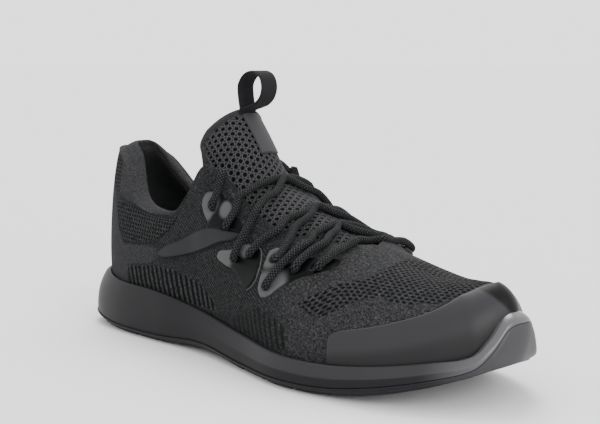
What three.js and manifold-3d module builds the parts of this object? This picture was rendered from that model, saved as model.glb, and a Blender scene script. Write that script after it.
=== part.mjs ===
// A low safety sneaker for the right foot: knitted upper, foam midsole, rubber outsole.
// Millimetres. +X points to the toe, +Y to the inner side of the foot, +Z up.
// The origin is on the floor, under the middle of the sole.
import * as THREE from "three";
import { mergeVertices } from "three/addons/utils/BufferGeometryUtils.js";
import Module from "manifold-3d";

const wasm = await Module();
wasm.setup();

// Driving dimensions
const shoeLength = 300; // sole, from heel to toe
const ballWidth = 108; // sole at its widest
const soleHeight = 34; // floor to the edge of the midsole at the back of the heel
const heelHeight = 108; // floor to the top of the collar at the back of the heel
const ankleWidth = 64; // collar, over its padding
const outsoleThickness = 3;
const rimThickness = 2.2; // the outsole's upturned edge
const grooveWidth = 3;
const grooveDepth = 1.8;
const lipWidth = 2.4; // top edge of the midsole, round the upper
const upperWall = 2.4;
const collarPadding = 4.2; // added to the wall at the top of the collar
const guardThickness = 1;
const filmThickness = 0.8; // the reinforcements round the eyelets
const eyeletDiameter = 4;
const insoleThickness = 4;
const tongueThickness = 4.5;
const patchThickness = 0.8;
const laceDiameter = 3.8;
const loopWidth = 12;
const loopThickness = 1.4;
const gap = 0.3; // between pieces that meet
const soleGap = 0.75; // between the outsole and the midsole
const overUpper = 0.45; // between the upper and the sheets that follow it

// The rows run from the back of the heel, at 0, round to the tip of the toe. The outer (lateral)
// and the inner (medial) side of the foot share a row.
const toeStation = 13;
const period = 2 * toeStation;
const detail = 3; // stations in each row
const rise = 10; // steps from the sole to the upper's top edge

// x is a share of shoeLength; lateral and medial are shares of half ballWidth, out from the middle;
// ground, wrap, lip, bed are shares of soleHeight: the underside, the top of the outsole's rim,
// the midsole's top edge and the floor that the upper stands on; seat is a share of ballWidth:
// how far inside the outline the upper stands; room is 1 where the toe guard needs room at the lip.
const soleRows = [
  { at: 0, x: -0.5, lateral: 0, medial: 0, ground: 0.18, wrap: 0.3, lip: 1, bed: 0.7, seat: 0.12, room: 0 },
  { at: 1, x: -0.484, lateral: 0.36, medial: 0.36, ground: 0.14, wrap: 0.26, lip: 0.97, bed: 0.69, seat: 0.11, room: 0 },
  { at: 2, x: -0.438, lateral: 0.58, medial: 0.575, ground: 0.06, wrap: 0.19, lip: 0.93, bed: 0.67, seat: 0.09, room: 0 },
  { at: 3, x: -0.35, lateral: 0.7, medial: 0.665, ground: 0, wrap: 0.13, lip: 0.87, bed: 0.64, seat: 0.066, room: 0 },
  { at: 4, x: -0.22, lateral: 0.725, medial: 0.65, ground: 0, wrap: 0.13, lip: 0.84, bed: 0.61, seat: 0.06, room: 0 },
  { at: 5, x: -0.09, lateral: 0.735, medial: 0.66, ground: 0.07, wrap: 0.2, lip: 0.69, bed: 0.49, seat: 0.057, room: 0 },
  { at: 6, x: 0.04, lateral: 0.86, medial: 0.8, ground: 0, wrap: 0.13, lip: 0.54, bed: 0.37, seat: 0.056, room: 0 },
  { at: 7, x: 0.155, lateral: 1, medial: 0.95, ground: 0, wrap: 0.13, lip: 0.47, bed: 0.3, seat: 0.056, room: 0.4 },
  { at: 8, x: 0.255, lateral: 0.97, medial: 1, ground: 0.03, wrap: 0.16, lip: 0.47, bed: 0.3, seat: 0.06, room: 1 },
  { at: 9, x: 0.345, lateral: 0.86, medial: 0.92, ground: 0.14, wrap: 0.28, lip: 0.55, bed: 0.37, seat: 0.064, room: 1 },
  { at: 10, x: 0.42, lateral: 0.64, medial: 0.74, ground: 0.3, wrap: 0.43, lip: 0.65, bed: 0.47, seat: 0.068, room: 1 },
  { at: 11, x: 0.47, lateral: 0.37, medial: 0.53, ground: 0.45, wrap: 0.58, lip: 0.74, bed: 0.56, seat: 0.072, room: 1 },
  { at: 11.5, x: 0.486, lateral: 0.22, medial: 0.4, ground: 0.51, wrap: 0.8, lip: 0.96, bed: 0.6, seat: 0.075, room: 1 },
  { at: 12, x: 0.495, lateral: 0.07, medial: 0.27, ground: 0.54, wrap: 1.08, lip: 1.22, bed: 0.62, seat: 0.077, room: 1 },
  { at: 13, x: 0.5, lateral: -0.12, medial: 0.12, ground: 0.56, wrap: 1.14, lip: 1.28, bed: 0.64, seat: 0.078, room: 1 },
];

// The upper's top edge: collar, throat and, from ridgeStation on, the ridge of the vamp.
// x is a share of shoeLength, z of heelHeight, lateral and medial of half ankleWidth.
const ridgeStation = 8;
const topRows = [
  { at: 0, x: -0.443, lateral: 0, medial: 0, z: 1 },
  { at: 0.8, x: -0.436, lateral: 0.28, medial: 0.22, z: 0.998 },
  { at: 1.5, x: -0.413, lateral: 0.47, medial: 0.36, z: 0.98 },
  { at: 2.1, x: -0.385, lateral: 0.56, medial: 0.44, z: 0.938 },
  { at: 2.6, x: -0.364, lateral: 0.64, medial: 0.51, z: 0.875 },
  { at: 3, x: -0.341, lateral: 0.73, medial: 0.62, z: 0.79 },
  { at: 3.4, x: -0.306, lateral: 0.84, medial: 0.72, z: 0.718 },
  { at: 3.9, x: -0.245, lateral: 0.97, medial: 0.88, z: 0.688 },
  { at: 4.3, x: -0.183, lateral: 1.01, medial: 0.96, z: 0.703 },
  { at: 4.6, x: -0.147, lateral: 0.97, medial: 0.96, z: 0.815 },
  { at: 4.85, x: -0.125, lateral: 0.91, medial: 0.87, z: 0.918 },
  { at: 5.1, x: -0.105, lateral: 0.88, medial: 0.81, z: 0.944 },
  { at: 5.35, x: -0.073, lateral: 0.85, medial: 0.77, z: 0.905 },
  { at: 5.7, x: -0.027, lateral: 0.84, medial: 0.77, z: 0.81 },
  { at: 6.2, x: 0.04, lateral: 0.82, medial: 0.79, z: 0.706 },
  { at: 6.8, x: 0.1, lateral: 0.71, medial: 0.79, z: 0.646 },
  { at: 7.3, x: 0.153, lateral: 0.46, medial: 0.62, z: 0.615 },
  { at: 7.7, x: 0.19, lateral: 0.18, medial: 0.42, z: 0.61 },
  { at: 8, x: 0.213, lateral: -0.1, medial: 0.1, z: 0.604 },
  { at: 9, x: 0.273, lateral: -0.13, medial: 0.13, z: 0.54 },
  { at: 10, x: 0.323, lateral: -0.15, medial: 0.15, z: 0.505 },
  { at: 11, x: 0.363, lateral: -0.17, medial: 0.17, z: 0.497 },
  { at: 12, x: 0.393, lateral: -0.19, medial: 0.19, z: 0.5 },
  { at: 13, x: 0.405, lateral: -0.2, medial: 0.2, z: 0.502 },
];

// How a section bulges between the sole and the top edge: the two handles of its curve, outwards
// (shares of half ballWidth) and along the height (shares of heelHeight). pad is 1 where padded.
const bulgeRows = [
  { at: 0, lowOut: 0.07, lowUp: 0.26, topOut: 0.15, topDown: -0.03, pad: 1 },
  { at: 1, lowOut: 0.07, lowUp: 0.26, topOut: 0.13, topDown: -0.03, pad: 1 },
  { at: 2, lowOut: 0.08, lowUp: 0.24, topOut: 0.12, topDown: 0, pad: 1 },
  { at: 3, lowOut: 0.08, lowUp: 0.2, topOut: 0.12, topDown: 0.03, pad: 0.95 },
  { at: 4, lowOut: 0.09, lowUp: 0.18, topOut: 0.05, topDown: 0.09, pad: 0.85 },
  { at: 4.6, lowOut: 0.09, lowUp: 0.23, topOut: 0.07, topDown: 0.17, pad: 0.4 },
  { at: 5, lowOut: 0.1, lowUp: 0.25, topOut: 0.12, topDown: 0.21, pad: 0.1 },
  { at: 6, lowOut: 0.1, lowUp: 0.26, topOut: 0.25, topDown: 0.15, pad: 0 },
  { at: 7, lowOut: 0.09, lowUp: 0.26, topOut: 0.4, topDown: 0.07, pad: 0 },
  { at: 8, lowOut: 0.08, lowUp: 0.26, topOut: 0.5, topDown: 0.02, pad: 0 },
  { at: 9, lowOut: 0.06, lowUp: 0.24, topOut: 0.5, topDown: 0, pad: 0 },
  { at: 10, lowOut: 0.06, lowUp: 0.22, topOut: 0.46, topDown: 0, pad: 0 },
  { at: 11, lowOut: 0.06, lowUp: 0.2, topOut: 0.4, topDown: 0, pad: 0 },
  { at: 12, lowOut: 0.05, lowUp: 0.19, topOut: 0.34, topDown: -0.005, pad: 0 },
  { at: 13, lowOut: 0.05, lowUp: 0.18, topOut: 0.32, topDown: -0.01, pad: 0 },
];

// A smooth closed curve through values that sit at knots, on a loop of the given length.
function loopCurve(knots, values, length) {
  const count = knots.length;
  const wrapped = (i) => ((i % count) + count) % count;
  const knot = (i) => knots[wrapped(i)] + Math.floor(i / count) * length;
  const value = (i) => values[wrapped(i)];
  const slope = (i) => (value(i + 1) - value(i - 1)) / (knot(i + 1) - knot(i - 1));
  return (s) => {
    const at = ((s % length) + length) % length;
    const i = knots.findLastIndex((k) => k <= at);
    const span = knot(i + 1) - knot(i);
    const t = (at - knot(i)) / span;
    const start = value(i) + t * t * (3 - 2 * t) * (value(i + 1) - value(i));
    return start + span * t * (1 - t) * (slope(i) * (1 - t) - slope(i + 1) * t);
  };
}

// A table's column as a curve round the shoe: out along the lateral side, back along the medial side.
function column(rows, lateral, medial = lateral) {
  const inner = rows.slice(1, -1).reverse();
  const knots = [...rows.map((r) => r.at), ...inner.map((r) => period - r.at)];
  return loopCurve(knots, [...rows.map(lateral), ...inner.map(medial)], period);
}

const outlineX = column(soleRows, (r) => r.x * shoeLength);
const outlineY = column(
  soleRows,
  (r) => (-r.lateral * ballWidth) / 2,
  (r) => (r.medial * ballWidth) / 2,
);
const groundCurve = column(soleRows, (r) => r.ground * soleHeight);
const groundZ = (s) => Math.max(groundCurve(s), 0);
const wrapZ = column(soleRows, (r) => r.wrap * soleHeight);
const lipZ = column(soleRows, (r) => r.lip * soleHeight);
const bedZ = column(soleRows, (r) => r.bed * soleHeight);
const seatInset = column(soleRows, (r) => r.seat * ballWidth);
const lipRoom = column(soleRows, (r) => r.room * (guardThickness + overUpper + gap / 2));
const topX = column(topRows, (r) => r.x * shoeLength);
const topY = column(
  topRows,
  (r) => (-r.lateral * ankleWidth) / 2,
  (r) => (r.medial * ankleWidth) / 2,
);
const topZ = column(topRows, (r) => r.z * heelHeight);
const lowOut = column(bulgeRows, (r) => (r.lowOut * ballWidth) / 2);
const lowUp = column(bulgeRows, (r) => r.lowUp * heelHeight);
const topOut = column(bulgeRows, (r) => (r.topOut * ballWidth) / 2);
const topDown = column(bulgeRows, (r) => r.topDown * heelHeight);
const padShare = column(bulgeRows, (r) => r.pad);

// The way out of the shoe, level, at right angles to the sole's outline.
function outward(s) {
  const step = 0.02;
  const dx = outlineX(s + step) - outlineX(s - step);
  const dy = outlineY(s + step) - outlineY(s - step);
  return new THREE.Vector3(dy, -dx, 0).normalize();
}

// A point on the sole's outline, moved in by inset, at height z.
function solePoint(s, inset, z) {
  return new THREE.Vector3(outlineX(s), outlineY(s), z).addScaledVector(outward(s), -inset);
}

// The upper's outer face: s runs round the shoe, v from the sole (0) to the top edge (1).
function upperFace(s, v) {
  const out = outward(s);
  const foot = solePoint(s, seatInset(s), bedZ(s) + gap);
  const top = new THREE.Vector3(topX(s), topY(s), topZ(s));
  const low = foot.clone().addScaledVector(out, lowOut(s));
  low.z += lowUp(s);
  const high = top.clone().addScaledVector(out, topOut(s));
  high.z -= topDown(s);
  return new THREE.CubicBezierCurve3(foot, low, high, top).getPoint(v);
}

const isRidge = (s) => Math.min(s, period - s) >= ridgeStation;

function faceNormal(s, v) {
  const step = 0.01;
  const across = upperFace(s + step, v).sub(upperFace(s - step, v));
  const up = upperFace(s, Math.min(v + step, 1)).sub(upperFace(s, Math.max(v - step, 0)));
  return across.cross(up).normalize();
}

// The normal of the upper, which both sides of the ridge share.
function upperNormal(s, v) {
  if (v < 1 || !isRidge(s)) return faceNormal(s, v);
  const nearRidge = 0.96;
  return faceNormal(s, nearRidge).add(faceNormal(period - s, nearRidge)).normalize();
}

// A point off the upper's face, outwards.
const upperPoint = (s, v, off) => upperFace(s, v).addScaledVector(upperNormal(s, v), off);

const smoothStep = (t) => THREE.MathUtils.smoothstep(t, 0, 1);

// The wall's thickness, with the padding that grows towards the collar.
const wallAt = (s, v) => upperWall + collarPadding * padShare(s) * smoothStep((v - 0.45) / 0.4);

// A point inside the upper's face. Under the padded collar the way in is level.
function innerPoint(s, v, depth) {
  const level = padShare(s) * smoothStep((v - 0.3) / 0.4);
  const way = upperNormal(s, v).lerp(outward(s), level).normalize();
  return upperFace(s, v).addScaledVector(way, -depth);
}

// A mesh from corner points and faces of three or four corners.
function meshOf(points, faces) {
  const corners = faces.flatMap(([a, b, c, d]) => (d === undefined ? [[a, b, c]] : [[a, b, c], [a, c, d]]));
  const geometry = new THREE.BufferGeometry().setFromPoints(points);
  geometry.setIndex(corners.filter((face) => new Set(face).size === 3).flat());
  return geometry;
}

// Stations round the shoe, the same on both sides.
const stations = Array.from({ length: period * detail }, (_, i) => i / detail);

// A solid from closed rings of points, lowest first, with a flat floor and a flat top.
function ringSolid(rings) {
  const count = stations.length;
  const points = rings.flatMap((ring) => stations.map(ring));
  const faces = [];
  for (let j = 0; j + 1 < rings.length; j++)
    for (let i = 0; i < count; i++) {
      const next = (i + 1) % count;
      faces.push([j * count + i, j * count + next, (j + 1) * count + next, (j + 1) * count + i]);
    }
  const top = (rings.length - 1) * count;
  for (let i = 0; i < count / 2; i++) {
    const [a, b, c, d] = [i, i + 1, count - i - 1, (count - i) % count];
    faces.push([c, b, a, d]);
    faces.push([top + a, top + b, top + c, top + d]);
  }
  return meshOf(points, faces);
}

// The upper as a shell, from its face (layer 0) to its lining (layer 1), open at the collar, the
// throat and the floor. swell is added on both sides and on top.
function upperShell(swell) {
  const count = stations.length;
  const points = [];
  const known = new Map();
  const place = (i, j, layer) => {
    const station = stations[i % count];
    const s = j === rise && isRidge(station) ? Math.min(station, period - station) : station;
    const key = `${s}/${j}/${layer}`;
    if (!known.has(key)) {
      const v = j / rise;
      const point = layer ? innerPoint(s, v, wallAt(s, v) + swell) : upperPoint(s, v, swell);
      if (j === rise) point.z += swell;
      known.set(key, points.push(point) - 1);
    }
    return known.get(key);
  };
  const faces = [];
  for (let i = 0; i < count; i++) {
    for (let j = 0; j < rise; j++) {
      faces.push([place(i, j, 0), place(i + 1, j, 0), place(i + 1, j + 1, 0), place(i, j + 1, 0)]);
      faces.push([place(i, j + 1, 1), place(i + 1, j + 1, 1), place(i + 1, j, 1), place(i, j, 1)]);
    }
    faces.push([place(i, 0, 1), place(i + 1, 0, 1), place(i + 1, 0, 0), place(i, 0, 0)]);
    if (!isRidge(stations[i]) || !isRidge(stations[(i + 1) % count]))
      faces.push([place(i, rise, 0), place(i + 1, rise, 0), place(i + 1, rise, 1), place(i, rise, 1)]);
  }
  return meshOf(points, faces);
}

// A sheet on a surface: at(i, j, layer) gives its corners, layer 0 outside and layer 1 inside.
function sheet(across, up, at) {
  const points = [];
  for (let layer = 0; layer < 2; layer++)
    for (let i = 0; i <= across; i++)
      for (let j = 0; j <= up; j++) points.push(at(i, j, layer));
  const corner = (layer, i, j) => (layer * (across + 1) + i) * (up + 1) + j;
  const faces = [];
  for (let i = 0; i < across; i++)
    for (let j = 0; j < up; j++) {
      const cell = [[i, j], [i + 1, j], [i + 1, j + 1], [i, j + 1]];
      faces.push(cell.map(([a, b]) => corner(0, a, b)));
      faces.push(cell.map(([a, b]) => corner(1, a, b)).reverse());
    }
  const rim = (a, b) => faces.push([corner(0, ...b), corner(0, ...a), corner(1, ...a), corner(1, ...b)]);
  for (let i = 0; i < across; i++) {
    rim([i, 0], [i + 1, 0]);
    rim([i + 1, up], [i, up]);
  }
  for (let j = 0; j < up; j++) {
    rim([0, j + 1], [0, j]);
    rim([across, j], [across, j + 1]);
  }
  return meshOf(points, faces);
}

// A round bar along a curve, with flat ends.
function bar(curve, radius, along, around) {
  const frames = curve.computeFrenetFrames(along, false);
  const points = [];
  for (let i = 0; i <= along; i++)
    for (let j = 0; j < around; j++) {
      const turn = (2 * Math.PI * j) / around;
      const point = curve.getPointAt(i / along);
      point.addScaledVector(frames.normals[i], radius * Math.cos(turn));
      points.push(point.addScaledVector(frames.binormals[i], radius * Math.sin(turn)));
    }
  const faces = [];
  for (let i = 0; i < along; i++)
    for (let j = 0; j < around; j++) {
      const next = (j + 1) % around;
      faces.push([i * around + j, i * around + next, (i + 1) * around + next, (i + 1) * around + j]);
    }
  const end = along * around;
  for (let j = 1; j + 1 < around; j++) {
    faces.push([0, j + 1, j]);
    faces.push([end, end + j, end + j + 1]);
  }
  return meshOf(points, faces);
}

// Solids for joining and cutting
function solidOf(geometry) {
  const bare = geometry.clone();
  bare.deleteAttribute("normal");
  bare.deleteAttribute("uv");
  const merged = mergeVertices(bare, 1e-4);
  return new wasm.Manifold(
    new wasm.Mesh({
      numProp: 3,
      vertProperties: merged.attributes.position.array,
      triVerts: new Uint32Array(merged.index.array),
    }),
  );
}

function geometryOf(solid) {
  const { vertProperties, triVerts } = solid.getMesh();
  const geometry = new THREE.BufferGeometry();
  geometry.setAttribute("position", new THREE.BufferAttribute(vertProperties, 3));
  geometry.setIndex(new THREE.BufferAttribute(triVerts, 1));
  return geometry;
}

// A point level with z, outside the upper's face by the given room.
function upperAtHeight(s, z, room) {
  let low = 0;
  let high = 0.6;
  for (let turn = 0; turn < 20; turn++) {
    const middle = (low + high) / 2;
    if (upperFace(s, middle).z < z) low = middle;
    else high = middle;
  }
  const point = upperFace(s, low).addScaledVector(outward(s), room);
  point.z = z;
  return point;
}

// The grooves across the tread: x is a share of shoeLength, turn is in degrees.
const grooveRows = [
  { x: -0.4, turn: -4 },
  { x: -0.34, turn: -3 },
  { x: -0.28, turn: -2 },
  { x: -0.22, turn: 0 },
  { x: 0.04, turn: 4 },
  { x: 0.1, turn: 8 },
  { x: 0.16, turn: 11 },
  { x: 0.22, turn: 14 },
  { x: 0.28, turn: 16 },
];

const treadInset = 6; // how far inside the outline the outsole meets the floor
const edgeInset = 2.6; // and its rounded lower edge
function outsole() {
  const rings = [
    (s) => solePoint(s, treadInset, groundZ(s)),
    (s) => solePoint(s, edgeInset, groundZ(s) + outsoleThickness / 2),
    (s) => solePoint(s, 0, wrapZ(s)),
    (s) => solePoint(s, rimThickness, wrapZ(s)),
    (s) => solePoint(s, edgeInset + rimThickness, groundZ(s) + outsoleThickness),
  ];
  let tread = solidOf(ringSolid(rings));
  for (const { x, turn } of grooveRows) {
    const groove = new THREE.BoxGeometry(grooveWidth, 2 * ballWidth, 2 * grooveDepth);
    groove.rotateZ(THREE.MathUtils.degToRad(turn)).translate(x * shoeLength, 0, 0);
    tread = tread.subtract(solidOf(groove));
  }
  return geometryOf(tread);
}

const cupBulge = 0.3; // how much wider the cup is halfway up than its two ends, for the guard
// The midsole's side leaves the outsole's rim upright and flares in to the lip.
function midsole() {
  const cup = (share) => (s) => {
    const bulge = 4 * share * (1 - share) * cupBulge * lipRoom(s);
    const z = THREE.MathUtils.lerp(bedZ(s), lipZ(s), share);
    return upperAtHeight(s, z, gap + lipRoom(s) + bulge);
  };
  const floorInset = edgeInset + rimThickness + soleGap;
  const start = 0.4;
  const side = (share) => (s) => {
    const z = wrapZ(s) + soleGap + share * (lipZ(s) - wrapZ(s) - soleGap);
    const wall = solePoint(s, start, z);
    const lip = upperAtHeight(s, lipZ(s), gap + lipRoom(s) + lipWidth);
    lip.z = z;
    return wall.lerp(lip, share ** 2.6);
  };
  const rings = [
    (s) => solePoint(s, floorInset, groundZ(s) + outsoleThickness + soleGap),
    (s) => solePoint(s, rimThickness + soleGap, wrapZ(s) + soleGap),
    ...[0, 0.33, 0.62, 0.84, 1].map(side),
    cup(1),
    cup(0.5),
    cup(0),
  ];
  return ringSolid(rings);
}

function insole() {
  const inset = (s) => seatInset(s) + upperWall + gap;
  return ringSolid([
    (s) => solePoint(s, inset(s), bedZ(s) + gap),
    (s) => solePoint(s, inset(s), bedZ(s) + gap + insoleThickness),
  ]);
}

// The toe guard: top is how far up the upper it reaches, a share of the way to the upper's edge.
const guardRows = [
  { at: 0, top: 0.2 },
  { at: 8, top: 0.2 },
  { at: 8.3, top: 0.27 },
  { at: 9, top: 0.33 },
  { at: 10, top: 0.45 },
  { at: 11, top: 0.63 },
  { at: 12, top: 0.75 },
  { at: 13, top: 0.77 },
];
const guardStart = 8;
const guardTop = column(guardRows, (r) => r.top);

function toeGuard() {
  const across = (period - 2 * guardStart) * detail;
  const up = 5;
  const foot = 0.03;
  return sheet(across, up, (i, j, layer) => {
    const s = guardStart + i / detail;
    const v = foot + (j / up) * (guardTop(s) - foot);
    return upperPoint(s, v, layer ? overUpper : overUpper + guardThickness);
  });
}

// The tongue: its outer face in the middle, from the vamp to the top. x is a share of shoeLength,
// z and radius of heelHeight, arch is half its arc in degrees, deep stretches the arc inwards, and
// lean is how far back the way in leans, in degrees from straight down.
const tongueRows = [
  { x: 0.22, z: 0.535, radius: 0.4, arch: 26, deep: 1, lean: 25 },
  { x: 0.187, z: 0.573, radius: 0.4, arch: 32, deep: 1, lean: 25 },
  { x: 0.15, z: 0.618, radius: 0.4, arch: 37, deep: 1, lean: 25 },
  { x: 0.113, z: 0.668, radius: 0.4, arch: 40, deep: 1, lean: 25 },
  { x: 0.075, z: 0.72, radius: 0.39, arch: 43, deep: 1, lean: 26 },
  { x: 0.012, z: 0.807, radius: 0.36, arch: 48, deep: 1, lean: 34 },
  { x: -0.028, z: 0.878, radius: 0.3, arch: 60, deep: 1.15, lean: 50 },
  { x: -0.044, z: 0.93, radius: 0.24, arch: 78, deep: 1.35, lean: 60 },
  { x: -0.062, z: 1.018, radius: 0.205, arch: 84, deep: 1.45, lean: 62 },
  { x: -0.087, z: 1.11, radius: 0.2, arch: 84, deep: 1.3, lean: 52 },
  { x: -0.115, z: 1.203, radius: 0.195, arch: 84, deep: 1.17, lean: 40 },
];
const instepY = 0.09; // where the middle of the instep lies, a share of half ankleWidth

// A point of the tongue: u is the row, side is -1 to 1 across it, sunk is below its face.
function tonguePoint(u, side, sunk) {
  const rowPoint = (r) => {
    const radius = r.radius * heelHeight;
    const turn = THREE.MathUtils.degToRad(r.arch) * side;
    const inwards = radius * r.deep * (1 - Math.cos(turn)) + sunk * Math.cos(turn);
    const lean = THREE.MathUtils.degToRad(r.lean);
    return new THREE.Vector3(
      r.x * shoeLength - inwards * Math.sin(lean),
      (instepY * ankleWidth) / 2 + (radius - sunk) * Math.sin(turn),
      r.z * heelHeight - inwards * Math.cos(lean),
    );
  };
  return new THREE.CatmullRomCurve3(tongueRows.map(rowPoint)).getPoint(u / (tongueRows.length - 1));
}

function tongue() {
  const across = 12;
  const steps = 14;
  const whole = sheet(steps, across, (i, j, layer) =>
    tonguePoint((i / steps) * (tongueRows.length - 1), 1 - (2 * j) / across, layer * tongueThickness),
  );
  const pieces = solidOf(whole).subtract(solidOf(upperShell(overUpper))).decompose();
  return geometryOf(pieces.reduce((a, b) => (a.volume() > b.volume() ? a : b)));
}

function tonguePatch() {
  const from = 7.85;
  const to = 9.8;
  const half = 0.25;
  return sheet(6, 4, (i, j, layer) =>
    tonguePoint(from + (i / 6) * (to - from), half * (1 - j / 2), layer ? -gap : -gap - patchThickness),
  );
}

// The pull loop's middle line: x is a share of shoeLength, z of heelHeight.
const loopRows = [
  { x: -0.1205, z: 1.2145 },
  { x: -0.1215, z: 1.27 },
  { x: -0.118, z: 1.335 },
  { x: -0.102, z: 1.383 },
  { x: -0.079, z: 1.4 },
  { x: -0.06, z: 1.378 },
  { x: -0.053, z: 1.33 },
  { x: -0.058, z: 1.277 },
  { x: -0.073, z: 1.235 },
  { x: -0.094, z: 1.218 },
  { x: -0.115, z: 1.2125 },
];

function pullLoop() {
  const steps = 32;
  const rows = loopRows.map((r) => new THREE.Vector3(r.x * shoeLength, 0, r.z * heelHeight));
  const middle = new THREE.CatmullRomCurve3(rows);
  return sheet(steps, 1, (i, j, layer) => {
    const along = middle.getTangentAt(i / steps);
    const off = (layer ? 0.5 : -0.5) * loopThickness;
    const point = middle.getPointAt(i / steps);
    point.y = (instepY * ankleWidth) / 2 + (0.5 - j) * loopWidth;
    return point.add(new THREE.Vector3(-along.z * off, 0, along.x * off));
  });
}

// The reinforcements, as seen from the side: x is a share of shoeLength, z of heelHeight.
const topFilm = {
  outline: [
    { x: -0.226, z: 0.464 }, { x: -0.2, z: 0.514 }, { x: -0.15, z: 0.57 },
    { x: -0.098, z: 0.628 }, { x: -0.077, z: 0.654 }, { x: -0.091, z: 0.703 },
    { x: -0.1, z: 0.755 }, { x: -0.094, z: 0.806 }, { x: -0.08, z: 0.818 }, { x: -0.06, z: 0.802 },
    { x: -0.043, z: 0.781 }, { x: -0.03, z: 0.76 }, { x: -0.018, z: 0.72 }, { x: -0.003, z: 0.686 },
    { x: 0.01, z: 0.641 }, { x: 0.002, z: 0.612 }, { x: -0.035, z: 0.574 },
    { x: -0.092, z: 0.516 }, { x: -0.15, z: 0.472 }, { x: -0.205, z: 0.446 },
  ],
  holes: [{ x: -0.07, z: 0.743 }, { x: -0.029, z: 0.661 }],
};
const middleFilm = {
  outline: [
    { x: -0.041, z: 0.504 }, { x: -0.037, z: 0.54 }, { x: -0.004, z: 0.56 }, { x: 0.02, z: 0.586 },
    { x: 0.033, z: 0.594 }, { x: 0.05, z: 0.589 }, { x: 0.066, z: 0.576 }, { x: 0.078, z: 0.527 },
    { x: 0.079, z: 0.447 }, { x: 0.057, z: 0.391 }, { x: 0.041, z: 0.403 }, { x: 0.014, z: 0.458 },
    { x: -0.021, z: 0.482 },
  ],
  holes: [{ x: 0.011, z: 0.527 }, { x: 0.043, z: 0.556 }],
};
const frontFilm = {
  outline: [
    { x: 0.084, z: 0.555 }, { x: 0.085, z: 0.58 }, { x: 0.094, z: 0.592 }, { x: 0.108, z: 0.58 },
    { x: 0.117, z: 0.553 }, { x: 0.115, z: 0.525 }, { x: 0.122, z: 0.52 }, { x: 0.142, z: 0.545 },
    { x: 0.162, z: 0.562 }, { x: 0.19, z: 0.567 }, { x: 0.207, z: 0.55 }, { x: 0.206, z: 0.529 },
    { x: 0.189, z: 0.508 }, { x: 0.163, z: 0.48 }, { x: 0.144, z: 0.445 }, { x: 0.118, z: 0.386 },
    { x: 0.098, z: 0.378 }, { x: 0.088, z: 0.414 }, { x: 0.088, z: 0.473 }, { x: 0.086, z: 0.521 },
  ],
  holes: [{ x: 0.101, z: 0.548 }, { x: 0.108, z: 0.432 }, { x: 0.149, z: 0.513 }, { x: 0.18, z: 0.533 }],
};

// A reinforcement: the sheet that follows the upper, cut to the outline. side is -1 lateral.
function film({ outline, holes }, side) {
  const place = (r) => new THREE.Vector3(r.x * shoeLength, r.z * heelHeight, 0);
  const edge = new THREE.CatmullRomCurve3(outline.map(place), true, "centripetal");
  const shape = new THREE.Shape(edge.getPoints(Math.round(outline.length * 1.25)).slice(0, -1));
  for (const hole of holes) {
    const { x, y } = place(hole);
    shape.holes.push(new THREE.Path().absarc(x, y, eyeletDiameter / 2, 0, 2 * Math.PI));
  }
  const depth = ballWidth;
  const cutter = new THREE.ExtrudeGeometry(shape, { depth, bevelEnabled: false, curveSegments: 4 });
  cutter.rotateX(Math.PI / 2).translate(0, side < 0 ? -gap : depth + gap, 0);
  const from = side < 0 ? 4 : period - 8;
  const foot = 3;
  const whole = sheet(4 * detail, rise - foot, (i, j, layer) =>
    upperPoint(from + i / detail, (j + foot) / rise, layer ? overUpper : overUpper + filmThickness),
  );
  return geometryOf(solidOf(whole).intersect(solidOf(cutter)));
}

// Half a stretch of the lace: on the upper, at station s and height v, then over the tongue, at row
// u and side, lifted off its face, to the row crest in the middle.
const laceHalves = {
  a: {
    upper: [{ s: 5.76, v: 0.75 }, { s: 5.79, v: 0.9 }, { s: 5.75, v: 0.99 }],
    tongue: [{ u: 5.5, side: 0.74, lift: 4.8 }, { u: 5.73, side: 0.42, lift: 0.6 }],
    crest: 5.85,
  },
  b: {
    upper: [{ s: 6.01, v: 0.58 }, { s: 6.07, v: 0.75 }, { s: 6.07, v: 0.9 }, { s: 6.05, v: 0.99 }],
    tongue: [{ u: 4.9, side: 0.68, lift: 3.2 }, { u: 5.12, side: 0.36, lift: 0.6 }],
    crest: 5.6,
  },
  c: {
    upper: [{ s: 6.38, v: 0.68 }, { s: 6.45, v: 0.82 }, { s: 6.56, v: 0.95 }],
    tongue: [{ u: 4.04, side: 0.66, lift: 2 }, { u: 4.04, side: 0.34, lift: 0.5 }],
    crest: 4.2,
  },
  d: {
    upper: [{ s: 6.9, v: 0.69 }, { s: 6.88, v: 0.88 }],
    tongue: [{ u: 3.5, side: 0.68, lift: 2.2 }, { u: 3.75, side: 0.36, lift: 0.5 }],
    crest: 4.15,
  },
  e: {
    upper: [{ s: 6.86, v: 0.48 }, { s: 6.98, v: 0.63 }, { s: 7.09, v: 0.78 }, { s: 7.13, v: 0.93 }],
    tongue: [{ u: 2.68, side: 0.6, lift: 1.8 }, { u: 2.8, side: 0.32, lift: 0.5 }],
    crest: 2.95,
  },
  f: {
    upper: [{ s: 7.23, v: 0.65 }, { s: 7.29, v: 0.81 }, { s: 7.33, v: 0.94 }],
    tongue: [{ u: 2.22, side: 0.46, lift: 1.8 }, { u: 2.45, side: 0.22, lift: 0.5 }],
    crest: 2.75,
  },
  g: {
    upper: [{ s: 7.55, v: 0.65 }, { s: 7.65, v: 0.78 }, { s: 7.69, v: 0.9 }, { s: 7.69, v: 0.99 }],
    tongue: [{ u: 1.45, side: 0.34, lift: 2.7 }],
    crest: 1.5,
  },
};
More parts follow.
